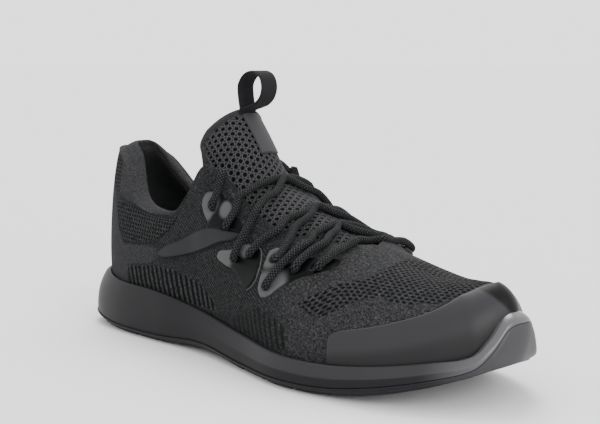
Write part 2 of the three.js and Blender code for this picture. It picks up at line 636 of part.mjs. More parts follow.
// The stretch from the top hole up to the throat's edge.
const laceTop = {
  upper: [
    { s: 5.4, v: 0.76 }, { s: 5.42, v: 0.82 }, { s: 5.42, v: 0.88 }, { s: 5.42, v: 0.94 },
    { s: 5.41, v: 0.995 },
  ],
  tongue: [],
};
const medialReach = 0.75; // the throat's inner side is nearer the middle, as a share of the outer
const laceRows = [
  { name: "lace_1", lateral: "a", medial: "b" },
  { name: "lace_1", lateral: "b", medial: "a" },
  { name: "lace_2", lateral: "c", medial: "d" },
  { name: "lace_2", lateral: "d", medial: "c" },
  { name: "lace_3", lateral: "e", medial: "f" },
  { name: "lace_3", lateral: "f", medial: "e" },
  { name: "lace_4", lateral: "g", medial: "g" },
];

// The points of a half stretch, from its hole to the middle. side is -1 lateral.
function halfPoints({ upper, tongue }, side) {
  const radius = laceDiameter / 2;
  const overFilm = overUpper + filmThickness + 1.5 * gap + radius;
  return [
    ...upper.map((r) => upperPoint(side < 0 ? r.s : period - r.s, r.v, overFilm)),
    ...tongue.map((r) => tonguePoint(r.u, side < 0 ? -r.side : medialReach * r.side, -radius - gap - r.lift)),
  ];
}

function laceCurve({ lateral, medial }) {
  const crest = (laceHalves[lateral].crest + laceHalves[medial].crest) / 2;
  return new THREE.CatmullRomCurve3(
    [
      ...halfPoints(laceHalves[lateral], -1),
      tonguePoint(crest, 0, -laceDiameter / 2 - 2 * gap),
      ...halfPoints(laceHalves[medial], 1).reverse(),
    ],
    false,
    "centripetal",
  );
}

function laces() {
  const joined = new Map();
  for (const row of laceRows) {
    const strand = solidOf(bar(laceCurve(row), laceDiameter / 2, 16, 6));
    joined.set(row.name, joined.has(row.name) ? joined.get(row.name).add(strand) : strand);
  }
  const pieces = [...joined].map(([name, solid]) => [name, geometryOf(solid)]);
  for (const [name, side] of [["lace_top_lateral", -1], ["lace_top_medial", 1]]) {
    const curve = new THREE.CatmullRomCurve3(halfPoints(laceTop, side), false, "centripetal");
    pieces.push([name, bar(curve, laceDiameter / 2, 6, 6)]);
  }
  return pieces;
}

// Materials
const finish = (color, roughness) => new THREE.MeshStandardMaterial({ color, roughness, metalness: 0 });
const foam = finish(0x3b3c3f, 0.55);
const rubber = finish(0x47464a, 0.5);
const knit = finish(0x2b2d2e, 0.9);
const spacerMesh = finish(0x353637, 0.85);
const lining = finish(0x202122, 0.9);
const satinFilm = finish(0x3e3e41, 0.4);
const glossFilm = finish(0x505254, 0.3);
const webbing = finish(0x2c2c30, 0.85);
const cord = finish(0x3a3b3c, 0.9);

const shoe = new THREE.Group();

function add(name, geometry, material) {
  const mesh = new THREE.Mesh(geometry, material);
  mesh.name = name;
  shoe.add(mesh);
}

add("outsole", outsole(), rubber);
add("midsole", midsole(), foam);
add("insole", insole(), lining);
add("upper", upperShell(0), knit);
add("toe_guard", toeGuard(), satinFilm);
add("tongue", tongue(), spacerMesh);
add("tongue_patch", tonguePatch(), webbing);
add("pull_loop", pullLoop(), webbing);
for (const [side, sign] of [["lateral", -1], ["medial", 1]]) {
  add(`film_top_${side}`, film(topFilm, sign), glossFilm);
  add(`film_middle_${side}`, film(middleFilm, sign), glossFilm);
  add(`film_front_${side}`, film(frontFilm, sign), glossFilm);
}
for (const [name, geometry] of laces()) add(name, geometry, cord);

export default shoe;
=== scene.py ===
"""The looks of a right safety sneaker: knitted upper, foam midsole, rubber outsole.

Metres. +X points to the toe, +Y to the inner side of the foot, +Z up, from the floor under the sole.
"""

import bpy
import math
import numpy as np
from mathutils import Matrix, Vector


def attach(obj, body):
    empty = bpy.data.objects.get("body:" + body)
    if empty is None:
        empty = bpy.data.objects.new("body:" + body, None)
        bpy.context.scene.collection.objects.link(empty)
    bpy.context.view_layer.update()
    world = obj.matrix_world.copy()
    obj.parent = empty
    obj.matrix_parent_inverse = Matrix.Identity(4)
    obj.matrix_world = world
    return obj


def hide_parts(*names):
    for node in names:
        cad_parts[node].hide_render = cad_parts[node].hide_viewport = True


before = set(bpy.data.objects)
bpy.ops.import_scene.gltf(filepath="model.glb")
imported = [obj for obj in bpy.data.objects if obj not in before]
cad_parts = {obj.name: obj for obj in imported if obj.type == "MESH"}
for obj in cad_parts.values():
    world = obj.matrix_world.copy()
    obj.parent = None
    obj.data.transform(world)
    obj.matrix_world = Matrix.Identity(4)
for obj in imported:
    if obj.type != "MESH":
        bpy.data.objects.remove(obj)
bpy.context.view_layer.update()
bpy.ops.object.select_all(action="DESELECT")

MM = 0.001

# Sizes of the shoe
SHOE_LENGTH = 300 * MM
BALL_WIDTH = 108 * MM
SOLE_HEIGHT = 34 * MM
HEEL_HEIGHT = 108 * MM
ANKLE_WIDTH = 64 * MM
OUTSOLE_THICKNESS = 3 * MM
RIM_THICKNESS = 2.2 * MM
GROOVE_WIDTH = 3 * MM
GROOVE_DEPTH = 1.8 * MM
LIP_WIDTH = 2.4 * MM
UPPER_WALL = 2.4 * MM
COLLAR_PADDING = 4.2 * MM
GUARD_THICKNESS = 1 * MM
FILM_THICKNESS = 0.8 * MM
EYELET_DIAMETER = 4 * MM
INSOLE_THICKNESS = 4 * MM
TONGUE_THICKNESS = 4.5 * MM
PATCH_THICKNESS = 0.8 * MM
LACE_DIAMETER = 3.8 * MM
LOOP_WIDTH = 12 * MM
LOOP_THICKNESS = 1.4 * MM
GAP = 0.3 * MM
SOLE_GAP = 0.75 * MM
OVER_UPPER = 0.45 * MM
TOE_SWELL = 2.9 * MM
HEEL_PADDING = 4 * MM

# The rows run from the back of the heel, at 0, round to the tip of the toe, the same on both sides.
TOE = 13
ROUND = 2 * TOE
RIDGE = 8


def table(names, *rows):
    """Rows of numbers as named columns."""
    return dict(zip(names.split(), np.array(rows, float).T))


# x is a share of the shoe's length, lateral and medial of half the ball's width, ground to bed of the
# sole's height, seat of the ball's width; room is 1 where the toe guard needs room at the lip.
SOLE = table(
    "at x lateral medial ground wrap lip bed seat room",
    (0, -0.5, 0, 0, 0.18, 0.3, 1, 0.7, 0.12, 0),
    (1, -0.484, 0.36, 0.36, 0.14, 0.26, 0.97, 0.69, 0.11, 0),
    (2, -0.438, 0.58, 0.575, 0.06, 0.19, 0.93, 0.67, 0.09, 0),
    (3, -0.35, 0.7, 0.665, 0, 0.13, 0.87, 0.64, 0.066, 0),
    (4, -0.22, 0.725, 0.65, 0, 0.13, 0.84, 0.61, 0.06, 0),
    (5, -0.09, 0.735, 0.66, 0.07, 0.2, 0.69, 0.49, 0.057, 0),
    (6, 0.04, 0.86, 0.8, 0, 0.13, 0.54, 0.37, 0.056, 0),
    (7, 0.155, 1, 0.95, 0, 0.13, 0.47, 0.3, 0.056, 0.4),
    (8, 0.255, 0.97, 1, 0.03, 0.16, 0.47, 0.3, 0.06, 1),
    (9, 0.345, 0.86, 0.92, 0.14, 0.28, 0.55, 0.37, 0.064, 1),
    (10, 0.42, 0.64, 0.74, 0.3, 0.43, 0.65, 0.47, 0.068, 1),
    (11, 0.47, 0.37, 0.53, 0.45, 0.58, 0.74, 0.56, 0.072, 1),
    (11.5, 0.486, 0.22, 0.4, 0.51, 0.8, 0.96, 0.6, 0.075, 1),
    (12, 0.495, 0.07, 0.27, 0.54, 1.08, 1.22, 0.62, 0.077, 1),
    (13, 0.5, -0.12, 0.12, 0.56, 1.14, 1.28, 0.64, 0.078, 1),
)

# The upper's top edge. x is a share of the shoe's length, z of the heel's height, lateral and medial
# of half the ankle's width.
TOP = table(
    "at x lateral medial z",
    (0, -0.443, 0, 0, 1),
    (0.8, -0.436, 0.28, 0.22, 0.998),
    (1.5, -0.413, 0.47, 0.36, 0.98),
    (2.1, -0.385, 0.56, 0.44, 0.938),
    (2.6, -0.364, 0.64, 0.51, 0.875),
    (3, -0.341, 0.73, 0.62, 0.79),
    (3.4, -0.306, 0.84, 0.72, 0.718),
    (3.9, -0.245, 0.97, 0.88, 0.688),
    (4.3, -0.183, 1.01, 0.96, 0.703),
    (4.6, -0.147, 0.97, 0.96, 0.815),
    (4.85, -0.125, 0.91, 0.87, 0.918),
    (5.1, -0.105, 0.88, 0.81, 0.944),
    (5.35, -0.073, 0.85, 0.77, 0.905),
    (5.7, -0.027, 0.84, 0.77, 0.81),
    (6.2, 0.04, 0.82, 0.79, 0.706),
    (6.8, 0.1, 0.71, 0.79, 0.646),
    (7.3, 0.153, 0.46, 0.62, 0.615),
    (7.7, 0.19, 0.18, 0.42, 0.61),
    (8, 0.213, -0.1, 0.1, 0.604),
    (9, 0.273, -0.13, 0.13, 0.54),
    (10, 0.323, -0.15, 0.15, 0.505),
    (11, 0.363, -0.17, 0.17, 0.497),
    (12, 0.393, -0.19, 0.19, 0.5),
    (13, 0.405, -0.2, 0.2, 0.502),
)

# How a section bulges: its curve's handles outwards, shares of half the ball's width, and along the
# height, shares of the heel's height. pad is 1 where the collar is padded.
BULGE = table(
    "at low_out low_up top_out top_down pad",
    (0, 0.07, 0.26, 0.15, -0.03, 1),
    (1, 0.07, 0.26, 0.13, -0.03, 1),
    (2, 0.08, 0.24, 0.12, 0, 1),
    (3, 0.08, 0.2, 0.12, 0.03, 0.95),
    (4, 0.09, 0.18, 0.05, 0.09, 0.85),
    (4.6, 0.09, 0.23, 0.07, 0.17, 0.4),
    (5, 0.1, 0.25, 0.12, 0.21, 0.1),
    (6, 0.1, 0.26, 0.25, 0.15, 0),
    (7, 0.09, 0.26, 0.4, 0.07, 0),
    (8, 0.08, 0.26, 0.5, 0.02, 0),
    (9, 0.06, 0.24, 0.5, 0, 0),
    (10, 0.06, 0.22, 0.46, 0, 0),
    (11, 0.06, 0.2, 0.4, 0, 0),
    (12, 0.05, 0.19, 0.34, -0.005, 0),
    (13, 0.05, 0.18, 0.32, -0.01, 0),
)


def unit(vectors):
    return vectors / np.linalg.norm(vectors, axis=-1, keepdims=True)


def smooth(share):
    share = np.clip(share, 0, 1)
    return share * share * (3 - 2 * share)


def column(rows, lateral, medial=None, scale=1.0, lateral_sign=1):
    """A table's column as a smooth curve round the shoe, out on the lateral side, back on the medial."""
    knots = np.concatenate([rows["at"], ROUND - rows["at"][-2:0:-1]])
    values = np.concatenate([lateral_sign * rows[lateral], rows[medial or lateral][-2:0:-1]]) * scale
    knots = np.concatenate([knots[-2:] - ROUND, knots, knots[:2] + ROUND])
    values = np.concatenate([values[-2:], values, values[:2]])
    slope = np.zeros(len(knots))
    slope[1:-1] = (values[2:] - values[:-2]) / (knots[2:] - knots[:-2])

    def at(s):
        s = np.mod(s, ROUND)
        i = np.clip(np.searchsorted(knots, s, side="right") - 1, 1, len(knots) - 3)
        span = knots[i + 1] - knots[i]
        t = (s - knots[i]) / span
        start = values[i] + smooth(t) * (values[i + 1] - values[i])
        return start + span * t * (1 - t) * (slope[i] * (1 - t) - slope[i + 1] * t)

    return at


outline_x = column(SOLE, "x", scale=SHOE_LENGTH)
outline_y = column(SOLE, "lateral", "medial", BALL_WIDTH / 2, -1)
ground_curve = column(SOLE, "ground", scale=SOLE_HEIGHT)
wrap_z = column(SOLE, "wrap", scale=SOLE_HEIGHT)
lip_z = column(SOLE, "lip", scale=SOLE_HEIGHT)
bed_z = column(SOLE, "bed", scale=SOLE_HEIGHT)
seat_inset = column(SOLE, "seat", scale=BALL_WIDTH)
lip_room = column(SOLE, "room", scale=GUARD_THICKNESS + OVER_UPPER + GAP / 2)
top_x = column(TOP, "x", scale=SHOE_LENGTH)
top_y = column(TOP, "lateral", "medial", ANKLE_WIDTH / 2, -1)
top_z = column(TOP, "z", scale=HEEL_HEIGHT)
low_out = column(BULGE, "low_out", scale=BALL_WIDTH / 2)
low_up = column(BULGE, "low_up", scale=HEEL_HEIGHT)
top_out = column(BULGE, "top_out", scale=BALL_WIDTH / 2)
top_down = column(BULGE, "top_down", scale=HEEL_HEIGHT)
pad_share = column(BULGE, "pad")


def ground_z(s):
    return np.maximum(ground_curve(s), 0)


def from_heel(s):
    """The station counted from the heel on either side."""
    s = np.mod(s, ROUND)
    return np.minimum(s, ROUND - s)


def outward(s):
    """The level way out of the shoe, at right angles to the sole's outline."""
    step = 0.02
    dx = outline_x(s + step) - outline_x(s - step)
    dy = outline_y(s + step) - outline_y(s - step)
    return unit(np.stack([dy, -dx, np.zeros_like(dx)], -1))


def sole_point(s, inset, z):
    s = np.asarray(s, float)
    inset = np.broadcast_to(inset, s.shape)
    z = np.broadcast_to(z, s.shape)
    return np.stack([outline_x(s), outline_y(s), z], -1) - outward(s) * inset[..., None]


def upper_face(s, v):
    """The upper's outer face: s runs round the shoe, v from the sole, 0, to the top edge, 1."""
    s, v = np.broadcast_arrays(np.asarray(s, float), np.asarray(v, float))
    out = outward(s)
    foot = sole_point(s, seat_inset(s), bed_z(s) + GAP)
    top = np.stack([top_x(s), top_y(s), top_z(s)], -1)
    low = foot + out * low_out(s)[..., None]
    low[..., 2] += low_up(s)
    high = top + out * top_out(s)[..., None]
    high[..., 2] -= top_down(s)
    v = v[..., None]
    w = 1 - v
    return w**3 * foot + 3 * w * w * v * low + 3 * w * v * v * high + v**3 * top


def face_normal(s, v):
    step = 0.01
    across = upper_face(s + step, v) - upper_face(s - step, v)
    up = upper_face(s, np.minimum(v + step, 1)) - upper_face(s, np.maximum(v - step, 0))
    return unit(np.cross(across, up))


def upper_normal(s, v):
    """The upper's normal, which both sides share along the ridge of the vamp."""
    s, v = np.broadcast_arrays(np.asarray(s, float), np.asarray(v, float))
    near_ridge = 0.96
    shared = unit(face_normal(s, near_ridge + 0 * v) + face_normal(ROUND - s, near_ridge + 0 * v))
    weight = smooth((v - near_ridge) / (1 - near_ridge)) * (from_heel(s) >= RIDGE)
    return unit(face_normal(s, v) + weight[..., None] * (shared - face_normal(s, v)))


def upper_point(s, v, off):
    off = np.broadcast_to(off, np.broadcast(s, v).shape)
    return upper_face(s, v) + upper_normal(s, v) * off[..., None]


def wall_at(s, v):
    return UPPER_WALL + COLLAR_PADDING * pad_share(s) * smooth((v - 0.45) / 0.4)


def inner_point(s, v, depth):
    """A point inside the upper's face. Under the padded collar the way in is level."""
    level = (pad_share(s) * smooth((v - 0.3) / 0.4))[..., None]
    way = unit(upper_normal(s, v) * (1 - level) + outward(s) * level)
    return upper_face(s, v) - way * depth[..., None]


def upper_at_height(s, z, room):
    """A point level with z, outside the upper's face by room."""
    low = np.zeros_like(s)
    high = np.full_like(s, 0.6)
    for _ in range(20):
        middle = (low + high) / 2
        under = upper_face(s, middle)[..., 2] < z
        low = np.where(under, middle, low)
        high = np.where(under, high, middle)
    point = upper_face(s, low) + outward(s) * np.broadcast_to(room, s.shape)[..., None]
    point[..., 2] = z
    return point


def through(points, at):
    """Points of the curves through rows of points, at a row number for each curve."""
    last = len(points) - 1
    first = np.clip(np.floor(at).astype(int), 0, last - 1)
    t = (at - first)[:, None]
    padded = np.concatenate([[2 * points[0] - points[1]], points, [2 * points[-1] - points[-2]]])
    each = np.arange(points.shape[1])
    p0, p1, p2, p3 = (padded[first + k, each] for k in range(4))
    d0, d1, d2 = (
        np.sqrt(np.maximum(np.linalg.norm(b - a, axis=-1, keepdims=True), 1e-9))
        for a, b in ((p0, p1), (p1, p2), (p2, p3))
    )
    t1 = ((p1 - p0) / d0 - (p2 - p0) / (d0 + d1) + (p2 - p1) / d1) * d1
    t2 = ((p2 - p1) / d1 - (p3 - p1) / (d1 + d2) + (p3 - p2) / d2) * d1
    return p1 + t1 * t + (-3 * p1 + 3 * p2 - 2 * t1 - t2) * t**2 + (2 * p1 - 2 * p2 + t1 + t2) * t**3


def curve_through(points, step):
    """A curve through points as evenly spaced points, about a step apart."""
    points = np.asarray(points, float)
    dense = 40 * (len(points) - 1) + 1
    at = np.linspace(0, len(points) - 1, dense)
    fine = through(np.repeat(points[:, None], dense, axis=1), at)
    return evenly(fine, step)


def running_length(points):
    return np.concatenate([[0], np.cumsum(np.linalg.norm(np.diff(points, axis=0), axis=1))])


def evenly(fine, step):
    length = running_length(fine)
    count = max(2, int(round(length[-1] / step)))
    wanted = np.linspace(0, length[-1], count + 1)
    return np.stack([np.interp(wanted, length, fine[:, k]) for k in range(3)], -1)


# The tongue, from the vamp to its top. x is a share of the shoe's length, z and radius of the heel's
# height, arch is half its arc and lean the way in from straight down, in degrees.
TONGUE = table(
    "x z radius arch deep lean",
    (0.22, 0.535, 0.4, 26, 1, 25),
    (0.187, 0.573, 0.4, 32, 1, 25),
    (0.15, 0.618, 0.4, 37, 1, 25),
    (0.113, 0.668, 0.4, 40, 1, 25),
    (0.075, 0.72, 0.39, 43, 1, 26),
    (0.012, 0.807, 0.36, 48, 1, 34),
    (-0.028, 0.878, 0.3, 60, 1.15, 50),
    (-0.044, 0.93, 0.24, 78, 1.35, 60),
    (-0.062, 1.018, 0.205, 84, 1.45, 62),
    (-0.087, 1.11, 0.2, 84, 1.3, 52),
    (-0.115, 1.203, 0.195, 84, 1.17, 40),
)
TONGUE_TOP = len(TONGUE["x"]) - 1
INSTEP_Y = 0.09 * ANKLE_WIDTH / 2


def tongue_point(u, side, sunk):
    """A point of the tongue: u is the row, side is -1 to 1 across it, sunk is below its face."""
    u, side, sunk = (np.ravel(a) for a in np.broadcast_arrays(u, side, sunk))
    rows = []
    for k in range(TONGUE_TOP + 1):
        row = {name: values[k] for name, values in TONGUE.items()}
        radius = row["radius"] * HEEL_HEIGHT
        turn = math.radians(row["arch"]) * side
        inwards = radius * row["deep"] * (1 - np.cos(turn)) + sunk * np.cos(turn)
        lean = math.radians(row["lean"])
        rows.append(
            np.stack(
                [
                    row["x"] * SHOE_LENGTH - inwards * math.sin(lean),
                    INSTEP_Y + (radius - sunk) * np.sin(turn),
                    row["z"] * HEEL_HEIGHT - inwards * math.cos(lean),
                ],
                -1,
            )
        )
    return through(np.array(rows), u)


# Mesh tools


def points_of(piece):
    points = np.empty(3 * len(piece.data.vertices), np.float32)
    piece.data.vertices.foreach_get("co", points)
    return points.reshape(-1, 3).astype(float)


def set_points(piece, points):
    piece.data.vertices.foreach_set("co", np.ascontiguousarray(points, np.float32).ravel())
    piece.data.update()


def grid(name, columns, rows):
    """A flat grid, with the numbers of the column and of the row of each of its points."""
    bpy.ops.mesh.primitive_grid_add(x_subdivisions=columns, y_subdivisions=rows, size=2)
    piece = bpy.context.active_object
    piece.name = name
    while piece.data.uv_layers:
        piece.data.uv_layers.remove(piece.data.uv_layers[0])
    points = (points_of(piece)[:, :2] + 1) / 2
    return piece, np.rint(points[:, 0] * columns), np.rint(points[:, 1] * rows)


def note(piece, name, values):
    """Keeps a number for each point, which a material can read by its name."""
    layer = piece.data.attributes.new(name, "FLOAT", "POINT")
    layer.data.foreach_set("value", np.ascontiguousarray(values, np.float32).ravel())


def corners_of(piece):
    """The number of the point at each corner of each face."""
    corners = np.empty(len(piece.data.loops), np.int32)
    piece.data.loops.foreach_get("vertex_index", corners)
    return corners


def lay_flat(piece, u, v):
    """Gives the piece a flat pattern of its cloth, in metres."""
    corners = corners_of(piece)
    layer = piece.data.uv_layers.new(name="cloth")
    flat = np.stack([u[corners], v[corners]], -1)
    layer.data.foreach_set("uv", np.ascontiguousarray(flat, np.float32).ravel())


def only(piece):
    bpy.ops.object.select_all(action="DESELECT")
    piece.select_set(True)
    bpy.context.view_layer.objects.active = piece


def join(first, *others):
    only(first)
    for other in others:
        other.select_set(True)
    bpy.ops.object.join()
    return first


def in_edit_mode(piece, *steps):
    only(piece)
    bpy.ops.object.mode_set(mode="EDIT")
    bpy.ops.mesh.select_all(action="SELECT")
    for step in steps:
        step()
    bpy.ops.object.mode_set(mode="OBJECT")


def flip(piece):
    in_edit_mode(piece, bpy.ops.mesh.flip_normals)


def merge(piece, distance=2e-6):
    in_edit_mode(piece, lambda: bpy.ops.mesh.remove_doubles(threshold=distance))


def faces_within(piece, marked):
    """The faces all of whose corners are marked."""
    return [bool(marked[list(face.vertices)].all()) for face in piece.data.polygons]


def delete_faces(piece, doomed):
    """Deletes faces, by a mark for each."""
    only(piece)
    bpy.ops.object.mode_set(mode="EDIT")
    bpy.ops.mesh.select_mode(type="FACE")
    bpy.ops.mesh.select_all(action="DESELECT")
    bpy.ops.object.mode_set(mode="OBJECT")
    piece.data.polygons.foreach_set("select", doomed)
    bpy.ops.object.mode_set(mode="EDIT")
    bpy.ops.mesh.delete(type="FACE")
    bpy.ops.mesh.select_mode(type="VERT")
    bpy.ops.object.mode_set(mode="OBJECT")


def rounding(distance, radius):
    """How thick a sheet is, 0 to 1, at a distance from its rounded edge."""
    return np.sqrt(np.clip(1 - (1 - np.clip(distance / radius, 0, 1)) ** 2, 0, 1))


def sheet(name, columns, rows, outside, inside, flat=None, notes=()):
    """A closed sheet between two surfaces that meet at its rim."""
    faces = []
    for layer in (outside, inside):
        piece, i, j = grid(name, columns, rows)
        a, b = i / columns, j / rows
        set_points(piece, layer(a, b))
        if flat:
            lay_flat(piece, *flat(a, b))
        for label, values in dict(notes).items():
            note(piece, label, values(a, b))
        faces.append(piece)
    flip(faces[1])
    whole = join(*faces)
    merge(whole)
    return whole


def ring_piece(name, columns, rings, floor=None, lid=None):
    """A closed solid from rings of points, lowest first. floor and lid bend its flat ends."""
    body, i, j = grid(name, columns, len(rings) - 1)
    s = np.arange(columns + 1) * ROUND / columns
    rows = np.array([ring(s) for ring in rings])
    set_points(body, rows[j.astype(int), i.astype(int)])
    parts = [body]
    across = 36
    for ring, bend in ((rings[0], floor), (rings[-1], lid)):
        cap, i, j = grid(name, columns // 2, across)
        s = i * ROUND / columns
        share = (j / across)[:, None]
        flat = ring(s) * (1 - share) + ring(ROUND - s) * share
        set_points(cap, bend(flat, 4 * share[:, 0] * (1 - share[:, 0])) if bend else flat)
        parts.append(cap)
    flip(parts[1])
    whole = join(*parts)
    merge(whole)
    return whole


def tube(name, path, radius, around):
    """A cord along a path, closed at its ends, with its cloth laid along and around it."""
    steps = len(path) - 1
    along = unit(np.gradient(path, axis=0))
    side = [unit(np.cross(along[0], (0.3, 0.2, 1.0)))]
    for way in along[1:]:
        last = side[-1]
        side.append(unit(last - way * (last @ way)))
    side = np.array(side)
    other = np.cross(side, along)
    piece, i, j = grid(name, steps + 2, around)
    k = np.clip(i.astype(int) - 1, 0, steps)
    turn = 2 * math.pi * j / around
    reach = np.where((i == 0) | (i == steps + 2), 0, radius)
    spot = side[k] * (reach * np.cos(turn))[:, None] + other[k] * (reach * np.sin(turn))[:, None]
    set_points(piece, path[k] + spot)
    lay_flat(piece, running_length(path)[k], j / around)
    merge(piece)
    return piece


def finish_piece(piece, look, slot, *nodes, angle=50):
    """Smooths a piece, gives it its material and puts it on the shoe."""
    only(piece)
    bpy.ops.object.shade_smooth_by_angle(angle=math.radians(angle))
    piece.data.materials.clear()
    piece.data.materials.append(look.material)
    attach(piece, "root")
    if nodes:
        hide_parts(*nodes)
    return piece


# Materials


class Value:
    """A socket that works in sums like a number."""

    def __init__(self, look, socket):
        self.look = look
        self.socket = socket


def sum_method(operation, swapped=False):
    """A method of Value that adds a Math node, with the Value first or, if swapped, last."""

    def method(self, *others):
        values = (*others, self) if swapped else (self, *others)
        return self.look.node("Math", {"operation": operation}, dict(enumerate(values)))

    return method


for name, operation in {
    "__add__": "ADD", "__sub__": "SUBTRACT", "__mul__": "MULTIPLY", "__truediv__": "DIVIDE",
    "__pow__": "POWER", "sine": "SINE", "part": "FRACT", "size": "ABSOLUTE", "least": "MINIMUM",
    "most": "MAXIMUM",
}.items():
    setattr(Value, name, sum_method(operation))
for name, operation in {"__radd__": "ADD", "__rsub__": "SUBTRACT", "__rmul__": "MULTIPLY"}.items():
    setattr(Value, name, sum_method(operation, True))


STUDIO_LIGHT = 2.1
# How bright a surface has to be to look as pale as tone, 0 to 255, in the picture
TONES = table(
    "tone light", (0, 0.0004), (5, 0.0031), (10, 0.0055), (20, 0.0107), (30, 0.0181), (40, 0.0275),
    (50, 0.0399), (60, 0.0535), (70, 0.069), (80, 0.086), (90, 0.107), (100, 0.13), (120, 0.187),
    (150, 0.328), (185, 0.722), (219, 2.15), (255, 8),
)


def paint(*tones):
    """The finish that gives these tones in the studio's light."""
    return tuple(np.interp(tones, TONES["tone"], TONES["light"]) / STUDIO_LIGHT) + (1.0,)


class Look:
    """A material, built round one shader."""

    def __init__(self, name, roughness=0.6, **constants):
        self.material = bpy.data.materials.new(name)
        self.material.use_nodes = True
        self.tree = self.material.node_tree
        self.tree.nodes.clear()
        self.shader = self.tree.nodes.new("ShaderNodeBsdfPrincipled")
        output = self.tree.nodes.new("ShaderNodeOutputMaterial")
        self.tree.links.new(self.shader.outputs[0], output.inputs[0])
        self.give(Roughness=roughness, **constants)

    def fill(self, target, value):
        if isinstance(value, Value):
            self.tree.links.new(value.socket, target)
        else:
            target.default_value = value

    def node(self, kind, settings=None, values=None, output=0):
        node = self.tree.nodes.new("ShaderNode" + kind)
        for name, setting in (settings or {}).items():
            setattr(node, name, setting)
        for socket, value in (values or {}).items():
            self.fill(node.inputs[socket], value)
        return Value(self, node.outputs[output])

    def give(self, **values):
        for socket, value in values.items():
            self.fill(self.shader.inputs[socket.replace("_", " ")], value)

    def kept(self, name):
        """A number kept on the piece's points."""
        return self.node("Attribute", {"attribute_name": name}, output=2)

    def cloth(self):
        """The two directions of the piece's flat cloth."""
        flat = self.node("UVMap", {"uv_map": "cloth"})
        return self.split(flat)[:2]

    def place(self):
        return self.node("TexCoord", output=3)

    def split(self, vector):
        node = self.tree.nodes.new("ShaderNodeSeparateXYZ")
        self.tree.links.new(vector.socket, node.inputs[0])
        return [Value(self, socket) for socket in node.outputs]

    def step(self, value, start, end):
        """0 below start, 1 above end."""
        values = {"Value": value, "From Min": start, "From Max": end}
        return self.node("MapRange", {"interpolation_type": "SMOOTHSTEP"}, values)

    def mix(self, factor, first, second):
        return self.node("Mix", {"data_type": "RGBA"}, {0: factor, 6: first, 7: second}, 2)

    def layers(self, colour, *over):
        """Colours laid over a colour, in turn, each with how much of it shows."""
        for share, next_colour in over:
            colour = self.mix(share, colour, next_colour)
        return colour

    def waves(self, distance, pitch, shift=0.0):
        """0 to 1 and back, once a pitch."""
        return (distance * (2 * math.pi / pitch) + shift).sine() * 0.5 + 0.5

    def noise(self, vector, scale, detail=3.0, roughness=0.6):
        values = {"Vector": vector, "Scale": scale, "Detail": detail, "Roughness": roughness}
        return self.node("TexNoise", values=values)

    def bump(self, height, depth):
        return self.node("Bump", values={"Height": height, "Distance": depth, "Strength": 1.0})

    def honeycomb(self, x, y, pitch, stretch=1.0):
        """The distance from the nearest of staggered holes, in pitches."""
        tall = math.sqrt(3)
        across = x / pitch
        up = y / (pitch * tall * stretch)

        def to_hole(shift):
            dx = (across + shift).part() - 0.5
            dy = ((up + shift).part() - 0.5) * tall
            return (dx * dx + dy * dy) ** 0.5

        return to_hole(0.0).least(to_hole(0.5))


# The flat pattern of the upper's cloth, sampled round the shoe and up it. It is x as seen from the
# side, but behind station HEEL_TURN it is measured round the heel.
PATTERN_COLUMNS, PATTERN_ROWS = 520, 100
HEEL_TURN = 3
pattern_s = np.linspace(0, ROUND, PATTERN_COLUMNS + 1)
pattern_v = np.linspace(0, 1, PATTERN_ROWS + 1)
pattern_points = upper_face(*np.meshgrid(pattern_s, pattern_v, indexing="ij"))
pattern_steps = np.linalg.norm(np.diff(pattern_points, axis=1), axis=-1)
from_top = np.zeros(pattern_points.shape[:2])
from_top[:, :-1] = np.cumsum(pattern_steps[:, ::-1], axis=1)[:, ::-1]
cloth_up = top_z(pattern_s)[:, None] - from_top
cloth_along = pattern_points[..., 0].copy()
for row in reversed(range(HEEL_TURN * PATTERN_COLUMNS // ROUND)):
    for here, near in ((row, row + 1), (PATTERN_COLUMNS - row, PATTERN_COLUMNS - row - 1)):
        stride = np.linalg.norm(pattern_points[here] - pattern_points[near], axis=-1)
        cloth_along[here] = cloth_along[near] - stride


def look_up(values, s, v):
    """A number of the pattern between its samples."""
    i = np.clip(s / ROUND * PATTERN_COLUMNS, 0, PATTERN_COLUMNS - 0.001)
    j = np.clip(v * PATTERN_ROWS, 0, PATTERN_ROWS - 0.001)
    i0, j0 = i.astype(int), j.astype(int)
    di, dj = i - i0, j - j0
    low = values[i0, j0] * (1 - di) + values[i0 + 1, j0] * di
    return low * (1 - dj) + (values[i0, j0 + 1] * (1 - di) + values[i0 + 1, j0 + 1] * di) * dj


def cloth_of(s, v):
    s = np.mod(s, ROUND)
    return look_up(cloth_along, s, v), look_up(cloth_up, s, v)


def line_distance(x, y, starts, ends):
    """The distance from points to the nearest of some straight lines."""
    nearest = np.full(x.shape, np.inf)
    for (ax, ay), (bx, by) in zip(starts, ends):
        dx, dy = bx - ax, by - ay
        t = np.clip(((x - ax) * dx + (y - ay) * dy) / (dx * dx + dy * dy + 1e-18), 0, 1)
        nearest = np.minimum(nearest, np.hypot(x - ax - t * dx, y - ay - t * dy))
    return nearest


def edge_distance(x, y, corners):
    """The distance from points to a closed outline, above 0 inside it."""
    ends = np.roll(corners, -1, axis=0)
    inside = np.zeros(x.shape, bool)
    for (ax, ay), (bx, by) in zip(corners, ends):
        crosses = (ay > y) != (by > y)
        inside ^= crosses & (x < ax + (y - ay) / np.where(crosses, by - ay, 1) * (bx - ax))
    nearest = line_distance(x, y, corners, ends)
    return np.where(inside, nearest, -nearest)


